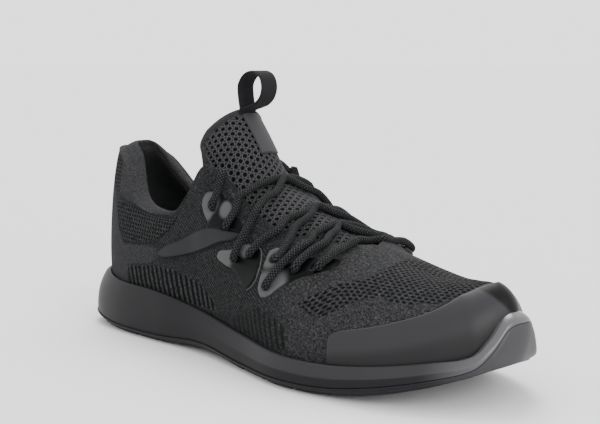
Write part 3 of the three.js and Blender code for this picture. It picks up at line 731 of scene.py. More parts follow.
# Areas of the upper's knit: s is the station, v the share of the way up, the same on both sides.
OPEN_KNIT = table(
    "s v", (7.35, 0.41), (7.52, 0.46), (7.86, 0.54), (8.12, 0.58), (8.46, 0.65), (8.68, 0.74),
    (8.76, 0.84), (8.8, 0.95), (8.85, 1.2), (13, 1.2), (13, 0.72), (11.38, 0.67), (10.73, 0.6),
    (10.28, 0.53), (9.88, 0.53), (9.51, 0.5), (9.19, 0.5), (8.9, 0.53), (8.59, 0.49), (8.32, 0.44),
    (8.08, 0.38), (7.85, 0.33), (7.59, 0.34),
)
DEEP_RIBS = table(
    "s v", (3.21, 0.25), (3.84, 0.35), (4.34, 0.36), (4.63, 0.29), (4.95, 0.25), (5.24, 0.18),
    (5.31, 0.11), (4.62, 0.09), (4.06, 0.1), (3.65, 0.1), (3.2, 0.1),
)
FINE_RIBS = table(
    "s v", (5.67, 0.12), (5.93, 0.19), (6.45, 0.31), (6.89, 0.29), (7.17, 0.24), (7.2, 0.14),
    (7.06, 0.08), (6.51, 0.07), (6.03, 0.07), (5.72, 0.07),
)
ANKLE_KNIT = table(
    "s v", (2.45, 0.58), (3.22, 0.78), (3.77, 0.93), (4.18, 0.96), (4.43, 0.88), (4.38, 0.81),
    (4.26, 0.74), (4.04, 0.63), (3.64, 0.52), (3.05, 0.4), (2.73, 0.44), (2.52, 0.51),
    (2.0, 0.6), (1.3, 0.68), (1.3, 0.88), (2.0, 0.86), (2.3, 0.7),
)
HEEL_COUNTER = table(
    "s v", (2.2, 0.58), (2.5, 0.53), (2.75, 0.46), (3.05, 0.4), (3.64, 0.5), (3.95, 0.53),
    (4.06, 0.47), (3.81, 0.36), (3.21, 0.26), (3.14, 0.06), (2.5, -0.2), (-2.5, -0.2), (-3, 0.1),
    (-3, 0.4), (-2.5, 0.53), (-1, 0.6), (0, 0.62), (1, 0.6),
)
COLLAR = table(
    "s v", (-4, 0.9), (-3.2, 0.78), (-2.4, 0.66), (-1.5, 0.66), (0, 0.68), (1.5, 0.66), (2.4, 0.6),
    (2.9, 0.7), (3.2, 0.78), (3.77, 0.93), (4.1, 0.985), (4.3, 1.2), (-4.3, 1.2),
)
SEAMS = (
    table("s v", (4.62, 1), (4.5, 0.93), (4.36, 0.84), (4.2, 0.74), (4.04, 0.64), (3.83, 0.56)),
    table("s v", (2.52, 0.52), (2.75, 0.46), (3.05, 0.4), (3.64, 0.51), (3.95, 0.57), (4.12, 0.68)),
    table("s v", (2.5, 0.61), (3.2, 0.78), (3.77, 0.93), (4.2, 0.97)),
)


def on_cloth(area):
    """An area's corners on the flat cloth, which runs on above the top edge."""
    top = np.clip(area["v"], 0, 1)
    x, y = cloth_of(area["s"] % ROUND, top)
    return np.stack([x, y + (area["v"] - top) * 100 * MM], -1)


def inside_area(area, s, v):
    """How far inside an area points are, on either side of the shoe."""
    return edge_distance(*cloth_of(from_heel(s), v), on_cloth(area))


def inside_heel_area(area, s, v):
    """How far inside an area round the heel points are. Its stations are below 0 on the inner side."""
    stride, height = 13 * MM, 80 * MM
    signed = np.where(np.mod(s, ROUND) <= TOE, from_heel(s), -from_heel(s))
    corners = np.stack([area["s"] * stride, area["v"] * height], -1)
    return edge_distance(signed * stride, v * height, corners)


# Looks
DULL = {"Specular_IOR_Level": 0.05, "Sheen_Weight": 0.01}
# Where the painted highlight at the toe fades in along the shoe, in metres
TOE_HIGHLIGHT_SPAN = (121 * MM, 148 * MM)


def knit_look():
    """Fine diagonal ribs, with ribbed, open and smooth areas. Painted shade darkens the rib valleys,
    channels and holes, and painted light brightens the inside of the collar round the heel.
    """
    look = Look("charcoal_knit", 0.85, Specular_IOR_Level=0.04, Sheen_Weight=0.01)
    x, y = look.cloth()
    place = look.place()
    fine_pitch, rib_pitch = 1.6 * MM, 4.3 * MM
    tilt = math.radians(40)
    across = x * math.sin(tilt) + y * math.cos(tilt)
    along = x * math.cos(tilt) - y * math.sin(tilt)
    wobble = look.noise(place, 180, 2) * 0.8
    ribs = look.waves(across, fine_pitch, wobble)
    stitches = look.waves(along, 0.9 * MM, wobble * 2)
    grain = look.step(look.noise(place, 1050, 2, 0.7), 0.3, 0.7)
    specks = look.step(look.noise(place, 620, 1, 0.5), 0.6, 0.74)
    deep = look.step(look.kept("deep_ribs"), -0.6 * MM, 0.8 * MM)
    slim = look.step(look.kept("fine_ribs"), -1.5 * MM, 1.5 * MM)
    open_knit = look.step(look.kept("open_knit"), -0.8 * MM, 1.2 * MM)
    ankle = look.step(look.kept("ankle_knit"), -0.3 * MM, 0.6 * MM)
    counter = look.step(look.kept("heel_counter"), -0.5 * MM, 1 * MM)
    collar = look.step(look.kept("collar"), -3 * MM, 4 * MM)
    lining, vamp, loose, pad = (look.kept(name) for name in ("lining", "vamp", "loose", "pad"))
    seam = 1 - look.step(look.kept("seams"), 0.2 * MM, 0.9 * MM)
    plain = (1 - deep) * (1 - open_knit) * (1 - ankle) * (1 - counter) * (1 - collar)
    upright = look.waves(x + y * 0.16, rib_pitch, wobble * 1.5)
    channels = look.step(upright, 0.35, 0.6)
    holes = 1 - look.step(look.honeycomb(x + y * 0.35, y, 3.1 * MM, 0.8), 0.22, 0.38)
    slots = 1 - look.step(look.honeycomb(x + y * 0.5, y, 2.6 * MM, 1.0), 0.26, 0.4)
    # dark: painted shade in the rib valleys, channels and holes, with the seams' own dark line
    dark = ((1 - channels) * deep * 0.95).most((1 - upright) * slim * 0.8)
    dark = dark.most(holes * open_knit * 0.97).most(slots * ankle * 0.97).most(seam * 0.6)
    dark = dark.most((1 - ribs) * plain * (1 - loose) * (0.5 + grain * 0.45))
    base = look.mix(grain, paint(14, 16, 17), paint(74, 76, 77))
    colour = look.layers(
        look.mix(loose * (1 - vamp), base, look.mix(grain, paint(14, 16, 17), paint(50, 52, 53))),
        (counter.most(collar), look.mix(grain, paint(38, 38, 40), paint(66, 66, 69))),
        (open_knit.most(vamp), look.mix(grain, paint(22, 22, 23), paint(66, 66, 68))),
        (specks * (plain + open_knit) * 0.5, paint(92, 93, 94)),
        (dark, paint(4, 5, 6)),
        # pad: painted light on the inside of the collar round the heel
        (pad, look.mix(grain, paint(58, 58, 60), paint(88, 88, 91))),
        (lining, paint(58, 60, 61)),
    )
    relief = ribs * plain * (1 - loose) * 0.45 + stitches * 0.12 + grain * 0.25 + specks * 0.2
    relief = relief - (1 - channels) * deep * 1.8 - (1 - upright) * slim * 1.0
    relief = relief - holes * open_knit * 1.6 - slots * ankle * 1.6 - seam * 1.4
    look.give(Base_Color=colour, Normal=look.bump(relief, 0.45 * MM))
    return look


def foam_look(name, shade, roughness, toe_highlight, gloss):
    """Smooth moulded foam or rubber with a faint grain and small scuffs, and painted highlights: paler
    at the toe and on the upturned band above the crease.
    """
    look = Look(name, roughness, Specular_IOR_Level=0.08, Coat_Roughness=0.22)
    place = look.place()
    cloud = look.noise(place, 22, 3)
    grain = look.noise(place, 2400, 2, 0.7)
    scuffs = look.step(look.noise(place, 160, 4, 0.7), 0.62, 0.75)
    # Where the painted highlight pales the foam towards the toe; a clear coat adds gloss there too
    toe = look.step(look.split(place)[0], *TOE_HIGHLIGHT_SPAN)

    def tone(change):
        return paint(*(c + change for c in shade))

    # Painted highlights: the upturned bevel band and the toe are paler
    colour = look.layers(
        look.mix(cloud, tone(-4), tone(4)), (look.kept("bevel"), tone(28)), (toe, tone(toe_highlight)),
        (scuffs * 0.2, tone(16)),
    )
    look.give(
        Base_Color=colour,
        Roughness=roughness - 0.05 + cloud * 0.1 + scuffs * 0.06,
        Coat_Weight=toe * gloss,
        Normal=look.bump(grain + cloud * 0.6, 0.04 * MM),
    )
    return look


def guard_look():
    """Satin film over the toe, dark where it turns up at the front, with painted shade low down."""
    look = Look("satin_guard", 0.38, Specular_IOR_Level=0.12)
    place = look.place()
    cloud = look.noise(place, 30, 2)
    grain = look.noise(place, 1800, 2)
    colour = look.layers(
        look.mix(cloud, paint(48, 47, 49), paint(55, 54, 57)),
        # low: painted shade along the bottom of the guard
        (look.kept("low"), paint(38, 37, 39)),
        (look.kept("front"), paint(4, 4, 5)),
    )
    look.give(
        Base_Color=colour, Roughness=0.36 + cloud * 0.1, Normal=look.bump(grain, 0.02 * MM)
    )
    return look


def film_look():
    """Glossy pressed film: pale round the eyelets, a painted reflection which is partly the film's own
    pale tint, dark in the waist, flat grey in the blade.
    """
    look = Look("pressed_film", 0.4, Specular_IOR_Level=0.06)
    place = look.place()
    cloud = look.noise(place, 60, 2)
    grain = look.noise(place, 1800, 2)
    blade, bead = look.kept("blade"), look.kept("bead")
    channel = 1 - look.step(blade.size(), 0.25 * MM, 0.8 * MM)
    rim = 1 - look.step(look.kept("edge"), 0.2 * MM, 0.7 * MM)
    colour = look.layers(
        look.mix(cloud, paint(3, 4, 5), paint(8, 9, 10)),
        (look.step(blade, 0.0, 0.5 * MM), paint(42, 44, 46)),
        # pale: the painted reflection round the eyelets
        (look.kept("pale"), paint(96, 97, 98)),
        (channel.most(rim * 0.7) * (1 - bead), paint(6, 6, 7)),
        (rim * bead, paint(86, 88, 88)),
    )
    look.give(
        Base_Color=colour,
        Roughness=0.34 + cloud * 0.14,
        Normal=look.bump(grain * 0.15 - channel, 0.3 * MM),
    )
    return look


def cloth_look(name, low, high, pitch, depth, roughness=0.85):
    """A close plain weave."""
    look = Look(name, roughness, **DULL)
    x, y = look.cloth()
    turn = 2 * math.pi / pitch
    over = (x * turn).sine() * (y * turn).sine() * 0.5 + 0.5
    height = over * 0.7 + look.noise(look.place(), 1400, 2, 0.7) * 0.3
    colour = look.mix(height, paint(*low), paint(*high))
    look.give(Base_Color=colour, Normal=look.bump(height, depth))
    return look


def braid_look():
    """A round braided lace: slanting strands with paler flecks."""
    look = Look("braided_lace", 0.8, **DULL)
    x, y = look.cloth()
    pitch, strands = 1.6 * MM, 6
    grain = look.noise(look.place(), 1600, 2, 0.7)
    one, two = (look.waves(x, pitch, y * (2 * math.pi * count)) for count in (strands, -strands))
    over = look.step(one.most(two), 0.35, 0.95)
    flecks = look.step(one * two, 0.45, 0.85) * look.step(grain, 0.42, 0.6)
    colour = look.mix(over, paint(9, 10, 11), paint(42, 43, 44))
    colour = look.mix(flecks, colour, paint(88, 90, 91))
    look.give(Base_Color=colour, Normal=look.bump(over + grain * 0.3, 0.3 * MM))
    return look


def net_look():
    """The strands of the open mesh of the tongue, darker down into the holes: painted shade."""
    look = Look("tongue_net", 0.8, **DULL)
    grain = look.noise(look.place(), 1300, 3, 0.7)
    colour = look.mix(grain, paint(40, 40, 42), paint(96, 96, 98))
    # Painted shade: the strands darken down the walls of the holes
    colour = look.mix(look.step(look.kept("rise"), 0.0, 0.8), paint(18, 18, 19), colour)
    look.give(Base_Color=colour, Normal=look.bump(grain, 0.15 * MM))
    return look


# The upper


def toe_dome(s, v):
    """How far the front of the upper swells outwards, most at its middle height."""
    return TOE_SWELL * smooth((from_heel(s) - 8.8) / 3.4) * np.sin(math.pi * np.clip(v, 0, 1) ** 1.1)


def collar_pad(s):
    """How much padding the collar has behind the ankle."""
    return HEEL_PADDING * (1 - smooth((from_heel(s) - 2.6) / 1.8))


def rim_size(s):
    """Half the wall's thickness at the top edge, 0 along the ridge."""
    wall = wall_at(s, np.ones_like(s)) / 2 + collar_pad(s) / 2
    return wall * (1 - smooth((from_heel(s) - (RIDGE - 0.4)) / 0.4))


def build_upper():
    columns, outer_rows, rim_rows, inner_rows = 520, 72, 8, 36
    crown_height, lean_in, rolled = 1.4 * MM, 2.2 * MM, 0.42
    bed_depth, lining_start, lining_fade = 75 * MM, 10 * MM, 26 * MM
    rows = outer_rows + rim_rows + inner_rows + 1
    rim_end = outer_rows + rim_rows
    piece, i, j = grid("knit_upper", columns, rows)
    s = i * ROUND / columns
    outside, inside = j <= outer_rows, j >= rim_end
    v = np.where(outside, j / outer_rows, np.where(inside, 1 - (j - rim_end) / inner_rows, 1))
    v = np.clip(v, 0, 1)
    padded = collar_pad(s) / collar_pad(np.zeros(1))
    bulge = (0.7 + 0.2 * padded) * rim_size(s)
    top, near, lower = (upper_face(s, share + 0 * s) for share in (1, 0.97, 0.8))
    up = unit((top - near) * (1 - padded)[:, None] + (top - lower) * 0.15 * padded[:, None])
    near_top = smooth((v - 0.8) / 0.2)
    sink = up * (bulge * near_top)[:, None]
    crown = np.array([0, 0, crown_height]) * (padded * near_top)[:, None]
    outer = upper_face(s, v) - sink + face_normal(s, v) * (outside * toe_dome(s, v))[:, None]
    inner = inner_point(s, v, wall_at(s, v) + collar_pad(s) * smooth((v - 0.5) / 0.3)) - sink
    lean = lean_in * padded * np.clip((v - 0.86) / 0.14, 0, 1) ** 2
    outer += unit(inner - outer) * lean[:, None] + crown
    inner += crown
    turn = np.clip((j - outer_rows) / rim_rows, 0, 1) * math.pi
    roll = rolled * padded * bulge * np.sin(turn) * np.cos(turn / 2) ** 2
    rim = (outer + inner) / 2 + (outer - inner) / 2 * np.cos(turn)[:, None]
    rim += up * (bulge * np.sin(turn))[:, None] + unit(inner - outer) * roll[:, None]
    points = np.where(outside[:, None], outer, np.where(inside[:, None], inner, rim))
    last = j == rows
    points[last] = upper_face(s[last], np.zeros(last.sum()))
    set_points(piece, points)
    x, y = cloth_of(s, v)
    lay_flat(piece, x, np.where(outside, y, y + np.abs(j - outer_rows) * 0.4 * MM))
    for name, area in {
        "open_knit": OPEN_KNIT, "deep_ribs": DEEP_RIBS, "fine_ribs": FINE_RIBS, "ankle_knit": ANKLE_KNIT,
    }.items():
        note(piece, name, np.where(outside, inside_area(area, s, v), -1))
    note(piece, "heel_counter", inside_heel_area(HEEL_COUNTER, s, v))
    note(piece, "collar", inside_heel_area(COLLAR, s, v))
    side = from_heel(s)
    place = cloth_of(side, v)
    seams = [line_distance(*place, line[:-1], line[1:]) for line in map(on_cloth, SEAMS)]
    note(piece, "seams", np.where(outside, np.min(seams, axis=0), 1))
    deep_in = np.where(inside, (1 - v) * bed_depth, 0)
    note(piece, "lining", smooth((deep_in - lining_start) / lining_fade))
    vamp = smooth((side - 6.4) / 0.9) * outside
    eyestay = smooth((v - 0.74) / 0.1) * smooth((side - 4.6) / 0.4) * outside
    note(piece, "vamp", vamp)
    note(piece, "loose", np.maximum(vamp, eyestay))
    # pad: where the inside of the collar near its top, round the heel, gets painted light
    note(piece, "pad", inside * smooth((v - 0.7) / 0.22) * (1 - smooth((side - 3) / 2)))
    delete_faces(piece, faces_within(piece, (j >= outer_rows) & (j <= rim_end) & (side >= RIDGE)))
    merge(piece)
    return piece


# The sole
TREAD_INSET = 6 * MM
EDGE_INSET = 2.6 * MM


def build_outsole():
    grooves = table(
        "x turn", (-0.4, -4), (-0.34, -3), (-0.28, -2), (-0.22, 0), (0.04, 4), (0.1, 8),
        (0.16, 11), (0.22, 14), (0.28, 16),
    )

    def grooved(points):
        for x, turn in zip(grooves["x"], grooves["turn"]):
            angle = math.radians(turn)
            along = points[..., 0] - x * SHOE_LENGTH
            near = np.abs(along * math.cos(angle) + points[..., 1] * math.sin(angle))
            depth = GROOVE_DEPTH * (1 - smooth((near - GROOVE_WIDTH / 2 + 0.3 * MM) / (0.6 * MM)))
            points[..., 2] = np.maximum(points[..., 2], depth)
        return points

    def side(share):
        def ring(s):
            low = sole_point(s, EDGE_INSET, ground_z(s) + OUTSOLE_THICKNESS / 2)
            high = sole_point(s, 0, wrap_z(s))
            point = low + (high - low) * share
            tall = 0.5 * MM + 1.1 * MM * smooth((from_heel(s) - 10) / 2)
            return point + outward(s) * (tall * math.sin(math.pi * share) ** 0.8)[:, None]

        return ring

    def edge(turn):
        def ring(s):
            inset = EDGE_INSET + (TREAD_INSET - EDGE_INSET) * (1 - math.cos(turn))
            z = ground_z(s) + OUTSOLE_THICKNESS / 2 * (1 - math.sin(turn))
            return grooved(sole_point(s, inset, z))

        return ring

    rim_round = 0.5 * MM

    def rim(inset, drop):
        return lambda s: sole_point(s, inset, wrap_z(s) - drop)

    rings = (
        [edge(math.pi / 2 * k / 4) for k in (4, 3, 2, 1)]
        + [side(k / 10) for k in range(10)]
        + [rim(0, rim_round), rim(0.15 * MM, 0.15 * MM), rim(rim_round, 0)]
        + [rim(RIM_THICKNESS - 0.3 * MM, 0), rim(RIM_THICKNESS, 0.3 * MM)]
        + [lambda s: sole_point(s, EDGE_INSET + RIM_THICKNESS, ground_z(s) + OUTSOLE_THICKNESS)]
    )
    return ring_piece("rubber_outsole", 1040, rings, lambda points, middle: grooved(points))


def mark_bevel_highlight(piece, crease):
    """Marks the band of the side above its crease, the faces that turn up along the forefoot, which the
    foam paints paler as a highlight.
    """
    points = points_of(piece)
    rim = np.stack([outline_x(pattern_s), outline_y(pattern_s)], -1)
    station = pattern_s[[np.argmin(((rim - point[:2]) ** 2).sum(1)) for point in points]]
    share = (points[:, 2] - wrap_z(station)) / (lip_z(station) - wrap_z(station))
    band = smooth((share - 0.4) / 0.06) * (1 - smooth((share - 1.05) / 0.1))
    # bevel: where the foam gets its painted highlight
    note(piece, "bevel", band * crease(station) * 0.8)


def build_midsole():
    foot_gap = 0.12 * MM
    start = 0.4 * MM
    corner = 0.6 * MM
    bed = OUTSOLE_THICKNESS + SOLE_GAP

    def crease(s):
        """1 along the forefoot, where the side has a level crease."""
        return smooth((from_heel(s) - 5.2) / 1.6) * (1 - smooth((from_heel(s) - 10.4) / 1.2))

    def flare(s, share):
        sharp = np.clip((share - 0.42) / 0.58, 0, 1) ** 1.1
        return share**2.6 + (sharp - share**2.6) * crease(s)

    def side(share, inset=0.0):
        def ring(s):
            z = wrap_z(s) + foot_gap + share * (lip_z(s) - wrap_z(s) - foot_gap)
            wall = sole_point(s, start + inset, z)
            lip = upper_at_height(s, lip_z(s), GAP + lip_room(s) + LIP_WIDTH - inset)
            lip[..., 2] = z
            return wall + (lip - wall) * flare(s, share)[..., None]

        return ring

    def lip(room, drop):
        def ring(s):
            point = upper_at_height(s, lip_z(s), GAP * 0.5 + lip_room(s) + room)
            point[..., 2] -= drop
            return point

        return ring

    def cup(share):
        return lambda s: upper_at_height(s, bed_z(s) + (lip_z(s) - bed_z(s)) * share, GAP + lip_room(s))

    rings = (
        [lambda s: sole_point(s, EDGE_INSET + RIM_THICKNESS + SOLE_GAP, ground_z(s) + bed)]
        + [lambda s: sole_point(s, RIM_THICKNESS + SOLE_GAP, wrap_z(s) + foot_gap)]
        + [side(0, corner), side(0.004, 0.25 * MM)]
        + [side(share) for share in np.concatenate([[0.03], np.linspace(0.07, 0.96, 26)])]
        + [lip(LIP_WIDTH, 0.35 * MM), lip(LIP_WIDTH - 0.3 * MM, 0.08 * MM), lip(LIP_WIDTH - 0.9 * MM, 0)]
        + [lip(0.5 * MM, 0.05 * MM), lip(0, 0.6 * MM)]
        + [cup(share) for share in (0.85, 0.5, 0)]
    )
    piece = ring_piece("foam_midsole", 520, rings)
    mark_bevel_highlight(piece, crease)
    return piece


def build_insole():
    def ring(extra, height):
        inset = UPPER_WALL + GAP + extra * MM
        z = GAP + height * INSOLE_THICKNESS
        return lambda s: sole_point(s, seat_inset(s) + inset, bed_z(s) + z)

    def dish(points, middle):
        points[:, 2] -= 0.8 * MM * middle
        return points

    shape = ((0, 0), (0, 0.6), (0.1, 1), (0.7, 1.15), (1.6, 1.125), (3.5, 1))
    piece = ring_piece("sock_liner", 416, [ring(*row) for row in shape], lid=dish)
    lay_flat(piece, *points_of(piece)[:, :2].T)
    return piece


# How far up the upper the toe guard reaches
GUARD_TOP = column(
    table(
        "at top", (0, 0.2), (8, 0.2), (8.05, 0.232), (8.15, 0.254), (8.3, 0.27), (9, 0.33), (10, 0.45),
        (11, 0.63), (12, 0.75), (13, 0.77),
    ),
    "top",
)
# How far up the dark front of the toe guard starts
GUARD_FRONT = table(
    "at low", (11.3, 0.8), (11.54, 0.66), (11.77, 0.6), (12.06, 0.53), (12.4, 0.46), (12.68, 0.39),
    (13, 0.36),
)


def build_guard():
    foot, under, station_length = 0.03, OVER_UPPER * 0.4, 24 * MM

    def at(a, b):
        s = RIDGE + a * (ROUND - 2 * RIDGE)
        return s, foot + b * (GUARD_TOP(s) - foot)

    def edge(a, b):
        s = at(a, b)[0]
        rise = upper_face(s, GUARD_TOP(s)) - upper_face(s, np.full_like(s, foot))
        end = np.minimum(a, 1 - a) * (ROUND - 2 * RIDGE) * station_length
        return np.minimum(np.minimum(1 - b, b) * np.linalg.norm(rise, axis=-1), end)

    def outside(a, b):
        s, v = at(a, b)
        thick = under + (GUARD_THICKNESS + OVER_UPPER - under) * rounding(edge(a, b), 1.1 * MM)
        return upper_point(s, v, thick + toe_dome(s, v))

    def front(a, b):
        s, v = at(a, b)
        side = from_heel(s)
        limit = np.interp(side, GUARD_FRONT["at"], GUARD_FRONT["low"])
        return smooth((v - limit) / 0.08 + 0.5) * (side > GUARD_FRONT["at"][0])

    # Where the guard gets painted shade, along its bottom
    def low(a, b):
        return 1 - smooth((b - 0.3) / 0.25)

    def inside(a, b):
        return upper_point(*at(a, b), under)

    notes = {"front": front, "low": low}
    return sheet("toe_guard_film", 300, 44, outside, inside, notes=notes)


# The films round the eyelets, as seen from the side: x is a share of the shoe's length, z of the
# heel's height. The number of a film is its place in FILMS.
TOP_FILM = table(
    "x z", (-0.226, 0.464), (-0.2, 0.514), (-0.15, 0.57), (-0.098, 0.628), (-0.077, 0.654),
    (-0.091, 0.703), (-0.1, 0.755), (-0.094, 0.806), (-0.08, 0.818), (-0.06, 0.802),
    (-0.043, 0.781), (-0.03, 0.76), (-0.018, 0.72), (-0.003, 0.686), (0.01, 0.641),
    (0.002, 0.612), (-0.035, 0.574), (-0.092, 0.516), (-0.15, 0.472), (-0.205, 0.446),
)
MIDDLE_FILM = table(
    "x z", (-0.041, 0.504), (-0.037, 0.54), (-0.004, 0.56), (0.02, 0.586), (0.033, 0.594),
    (0.05, 0.589), (0.066, 0.576), (0.078, 0.527), (0.079, 0.447), (0.057, 0.391),
    (0.041, 0.403), (0.014, 0.458), (-0.021, 0.482),
)
FRONT_FILM = table(
    "x z", (0.084, 0.555), (0.085, 0.58), (0.094, 0.592), (0.108, 0.58), (0.117, 0.553),
    (0.115, 0.525), (0.122, 0.52), (0.142, 0.545), (0.162, 0.562), (0.19, 0.567),
    (0.207, 0.55), (0.206, 0.529), (0.189, 0.508), (0.163, 0.48), (0.144, 0.445),
    (0.118, 0.386), (0.098, 0.378), (0.088, 0.414), (0.088, 0.473), (0.086, 0.521),
)
BLADE = table(
    "x z", (-0.219, 0.466), (-0.197, 0.507), (-0.149, 0.561), (-0.1, 0.62), (-0.07, 0.642),
    (-0.03, 0.644), (0.005, 0.638), (0.03, 0.63), (0.02, 0.6), (-0.02, 0.588), (-0.037, 0.578),
    (-0.093, 0.52), (-0.15, 0.476), (-0.203, 0.451),
)
FILMS = {"top": TOP_FILM, "middle": MIDDLE_FILM, "front": FRONT_FILM}
BLADED, MIDDLE = 0, 1
EYELETS = table(
    "film x z", (0, -0.07, 0.743), (0, -0.029, 0.661), (1, 0.011, 0.527), (1, 0.043, 0.556),
    (2, 0.101, 0.548), (2, 0.108, 0.432), (2, 0.149, 0.513), (2, 0.18, 0.533),
)
# Where a film is pale, a painted reflection which is partly the film's own pale tint: reach is how far,
# a share of the shoe's length.
REFLECTION_SPOTS = table(
    "film x z reach",
    (0, -0.078, 0.757, 0.022), (0, -0.036, 0.737, 0.016), (0, -0.085, 0.72, 0.02),
    (1, -0.022, 0.521, 0.03), (1, 0.036, 0.575, 0.016), (2, 0.098, 0.565, 0.024),
    (2, 0.103, 0.41, 0.03), (2, 0.125, 0.43, 0.026),
)


def on_film(rows, number):
    """The rows of one film, in metres."""
    scales = {"x": SHOE_LENGTH, "z": HEEL_HEIGHT, "reach": SHOE_LENGTH}
    chosen = rows["film"] == number
    return list(zip(*(rows[name][chosen] * scale for name, scale in scales.items() if name in rows)))


def side_shape(area):
    """An outline's corners, in metres, rounded off as a smooth closed curve."""
    corners = np.stack([area["x"] * SHOE_LENGTH, area["z"] * HEEL_HEIGHT], -1)
    count = len(corners)
    wrapped = np.concatenate([corners[-2:], corners, corners[:3]])
    at = 2 + np.arange(count * 6) / 6
    return through(np.repeat(wrapped[:, None], len(at), axis=1), at)


def cast(x, z, medial):
    """The station and height where the upper has a given x and z, on one side."""
    s, v = np.meshgrid(np.linspace(3.9, 8.4, 150), np.linspace(0.2, 1, 90), indexing="ij")
    s, v = s.ravel(), v.ravel()
    if medial:
        s = ROUND - s
    known = upper_face(s, v)
    pick = np.array([np.argmin((known[:, 0] - a) ** 2 + (known[:, 2] - b) ** 2) for a, b in zip(x, z)])
    s, v = s[pick], v[pick]
    step = 1e-3
    for _ in range(6):
        here = upper_face(s, v)
        along = (upper_face(s + step, v) - here) / step
        up = (upper_face(s, v + step) - here) / step
        ex, ez = x - here[:, 0], z - here[:, 2]
        det = along[:, 0] * up[:, 2] - along[:, 2] * up[:, 0]
        det = np.where(np.abs(det) < 1e-9, 1e-9, det)
        s = s + np.clip((ex * up[:, 2] - ez * up[:, 0]) / det, -0.1, 0.1)
        v = np.clip(v + np.clip((along[:, 0] * ez - along[:, 2] * ex) / det, -0.05, 0.05), 0, 1)
    return s, v


def build_film(name, number, area, medial):
    """A film cut to its outline and pressed on the upper, with a hole at each eyelet."""
    corners = side_shape(area)
    low, high = corners.min(0), corners.max(0)
    cell, tiny, under, bevel = 0.75 * MM, 0.02 * MM, 0.25 * MM, 0.7 * MM
    columns, rows = (np.ceil((high - low) / cell) + 2).astype(int)
    radius = EYELET_DIAMETER / 2 + 0.1 * MM

    def distance(x, z):
        edge = edge_distance(x, z, corners)
        for ex, ez in on_film(EYELETS, number):
            edge = np.minimum(edge, np.hypot(x - ex, z - ez) - radius)
        return edge

    layers = []
    for top in (True, False):
        piece, i, j = grid(name, int(columns), int(rows))
        x = low[0] - cell + i * cell
        z = low[1] - cell + j * cell
        faces = corners_of(piece).reshape(-1, 4)
        kept = (distance(x, z) > -0.35 * cell)[faces].all(axis=1)
        used, rim = np.zeros(len(x), bool), np.zeros(len(x), bool)
        used[faces[kept]] = True
        rim[faces[~kept]] = True
        rim &= used
        for _ in range(4):
            away = distance(x[rim], z[rim])
            gx = (distance(x[rim] + tiny, z[rim]) - away) / tiny
            gz = (distance(x[rim], z[rim] + tiny) - away) / tiny
            size = np.maximum(gx * gx + gz * gz, 0.3)
            x[rim] -= away * gx / size
            z[rim] -= away * gz / size
        near = np.where(rim, 0, np.maximum(distance(x, z), 0))
        thick = rounding(near[used], bevel) * top
        points = np.zeros((len(x), 3))
        off = under + (OVER_UPPER - under + FILM_THICKNESS) * thick
        points[used] = upper_point(*cast(x[used], z[used], medial), off)
        set_points(piece, points)
        # pale: where the painted reflection lies round the eyelets
        pale = 0 * x
        for px, pz, reach in on_film(REFLECTION_SPOTS, number):
            away = np.hypot(x - px, z - pz) / reach
            pale = np.maximum(pale, 1 - smooth((away - 0.7) / 0.5))
        note(piece, "edge", near)
        note(piece, "pale", pale)
        note(piece, "bead", smooth(x / (0.01 * SHOE_LENGTH) - 4.5) * (number == MIDDLE))
        note(piece, "blade", edge_distance(x, z, side_shape(BLADE)) if number == BLADED else -1 + 0 * x)
        delete_faces(piece, ~kept)
        layers.append(piece)
    flip(layers[0 if medial else 1])
    whole = join(*layers)
    merge(whole)
    return whole


# The tongue: how far across the open mesh reaches, by row
NET_EDGE = table(
    "u side", (0, 1), (3.9, 1), (4.16, 0.98), (4.52, 0.92), (5.04, 0.84), (5.41, 0.81), (5.85, 0.76),
    (6.59, 0.7), (7.24, 0.7), (7.8, 0.86), (8.3, 0.98), (10, 1),
)
tongue_rows = np.linspace(0, TONGUE_TOP, 201)
tongue_length = running_length(tongue_point(tongue_rows, 0, 0))
side_steps = np.linspace(0, 1, 21)
tongue_halves = np.array([running_length(tongue_point(u, side_steps, 0))[-1] for u in tongue_rows])


def half_width(u):
    return np.interp(u, tongue_rows, tongue_halves)


def net_limit(u):
    return np.interp(u, NET_EDGE["u"], NET_EDGE["side"])


def tongue_edge(u, side):
    """The distance from the tongue's rim."""
    top = tongue_length[-1] - np.interp(u, tongue_rows, tongue_length)
    return np.minimum((1 - np.abs(side)) * half_width(u), top)


def under_rim(u, side, sunk):
    """How far below the face, with the tongue's edge rounded over."""
    round_size = 1.2 * MM
    return sunk + round_size * (1 - rounding(tongue_edge(u, side), round_size))


def tongue_sheet(name, columns, rows, at, top, bottom, flat):
    """A sheet along the tongue: at gives its row and side, top and bottom how far it is sunk."""
    faces = (lambda a, b, sunk=sunk: tongue_point(*at(a, b), sunk(a, b)) for sunk in (top, bottom))
    return sheet(name, columns, rows, *faces, flat)


def build_tongue():
    def at(a, b):
        return b * TONGUE_TOP, 2 * a - 1

    def top(a, b):
        return under_rim(*at(a, b), 1.3 * MM)

    def bottom(a, b):
        thin = 1 - rounding(tongue_edge(*at(a, b)), 2 * MM)
        return TONGUE_THICKNESS - (TONGUE_THICKNESS - 3.5 * MM) * thin

    def flat(a, b):
        u, side = at(a, b)
        return side * half_width(u), np.interp(u, tongue_rows, tongue_length)

    return tongue_sheet("tongue_padding", 96, 160, at, top, bottom, flat)


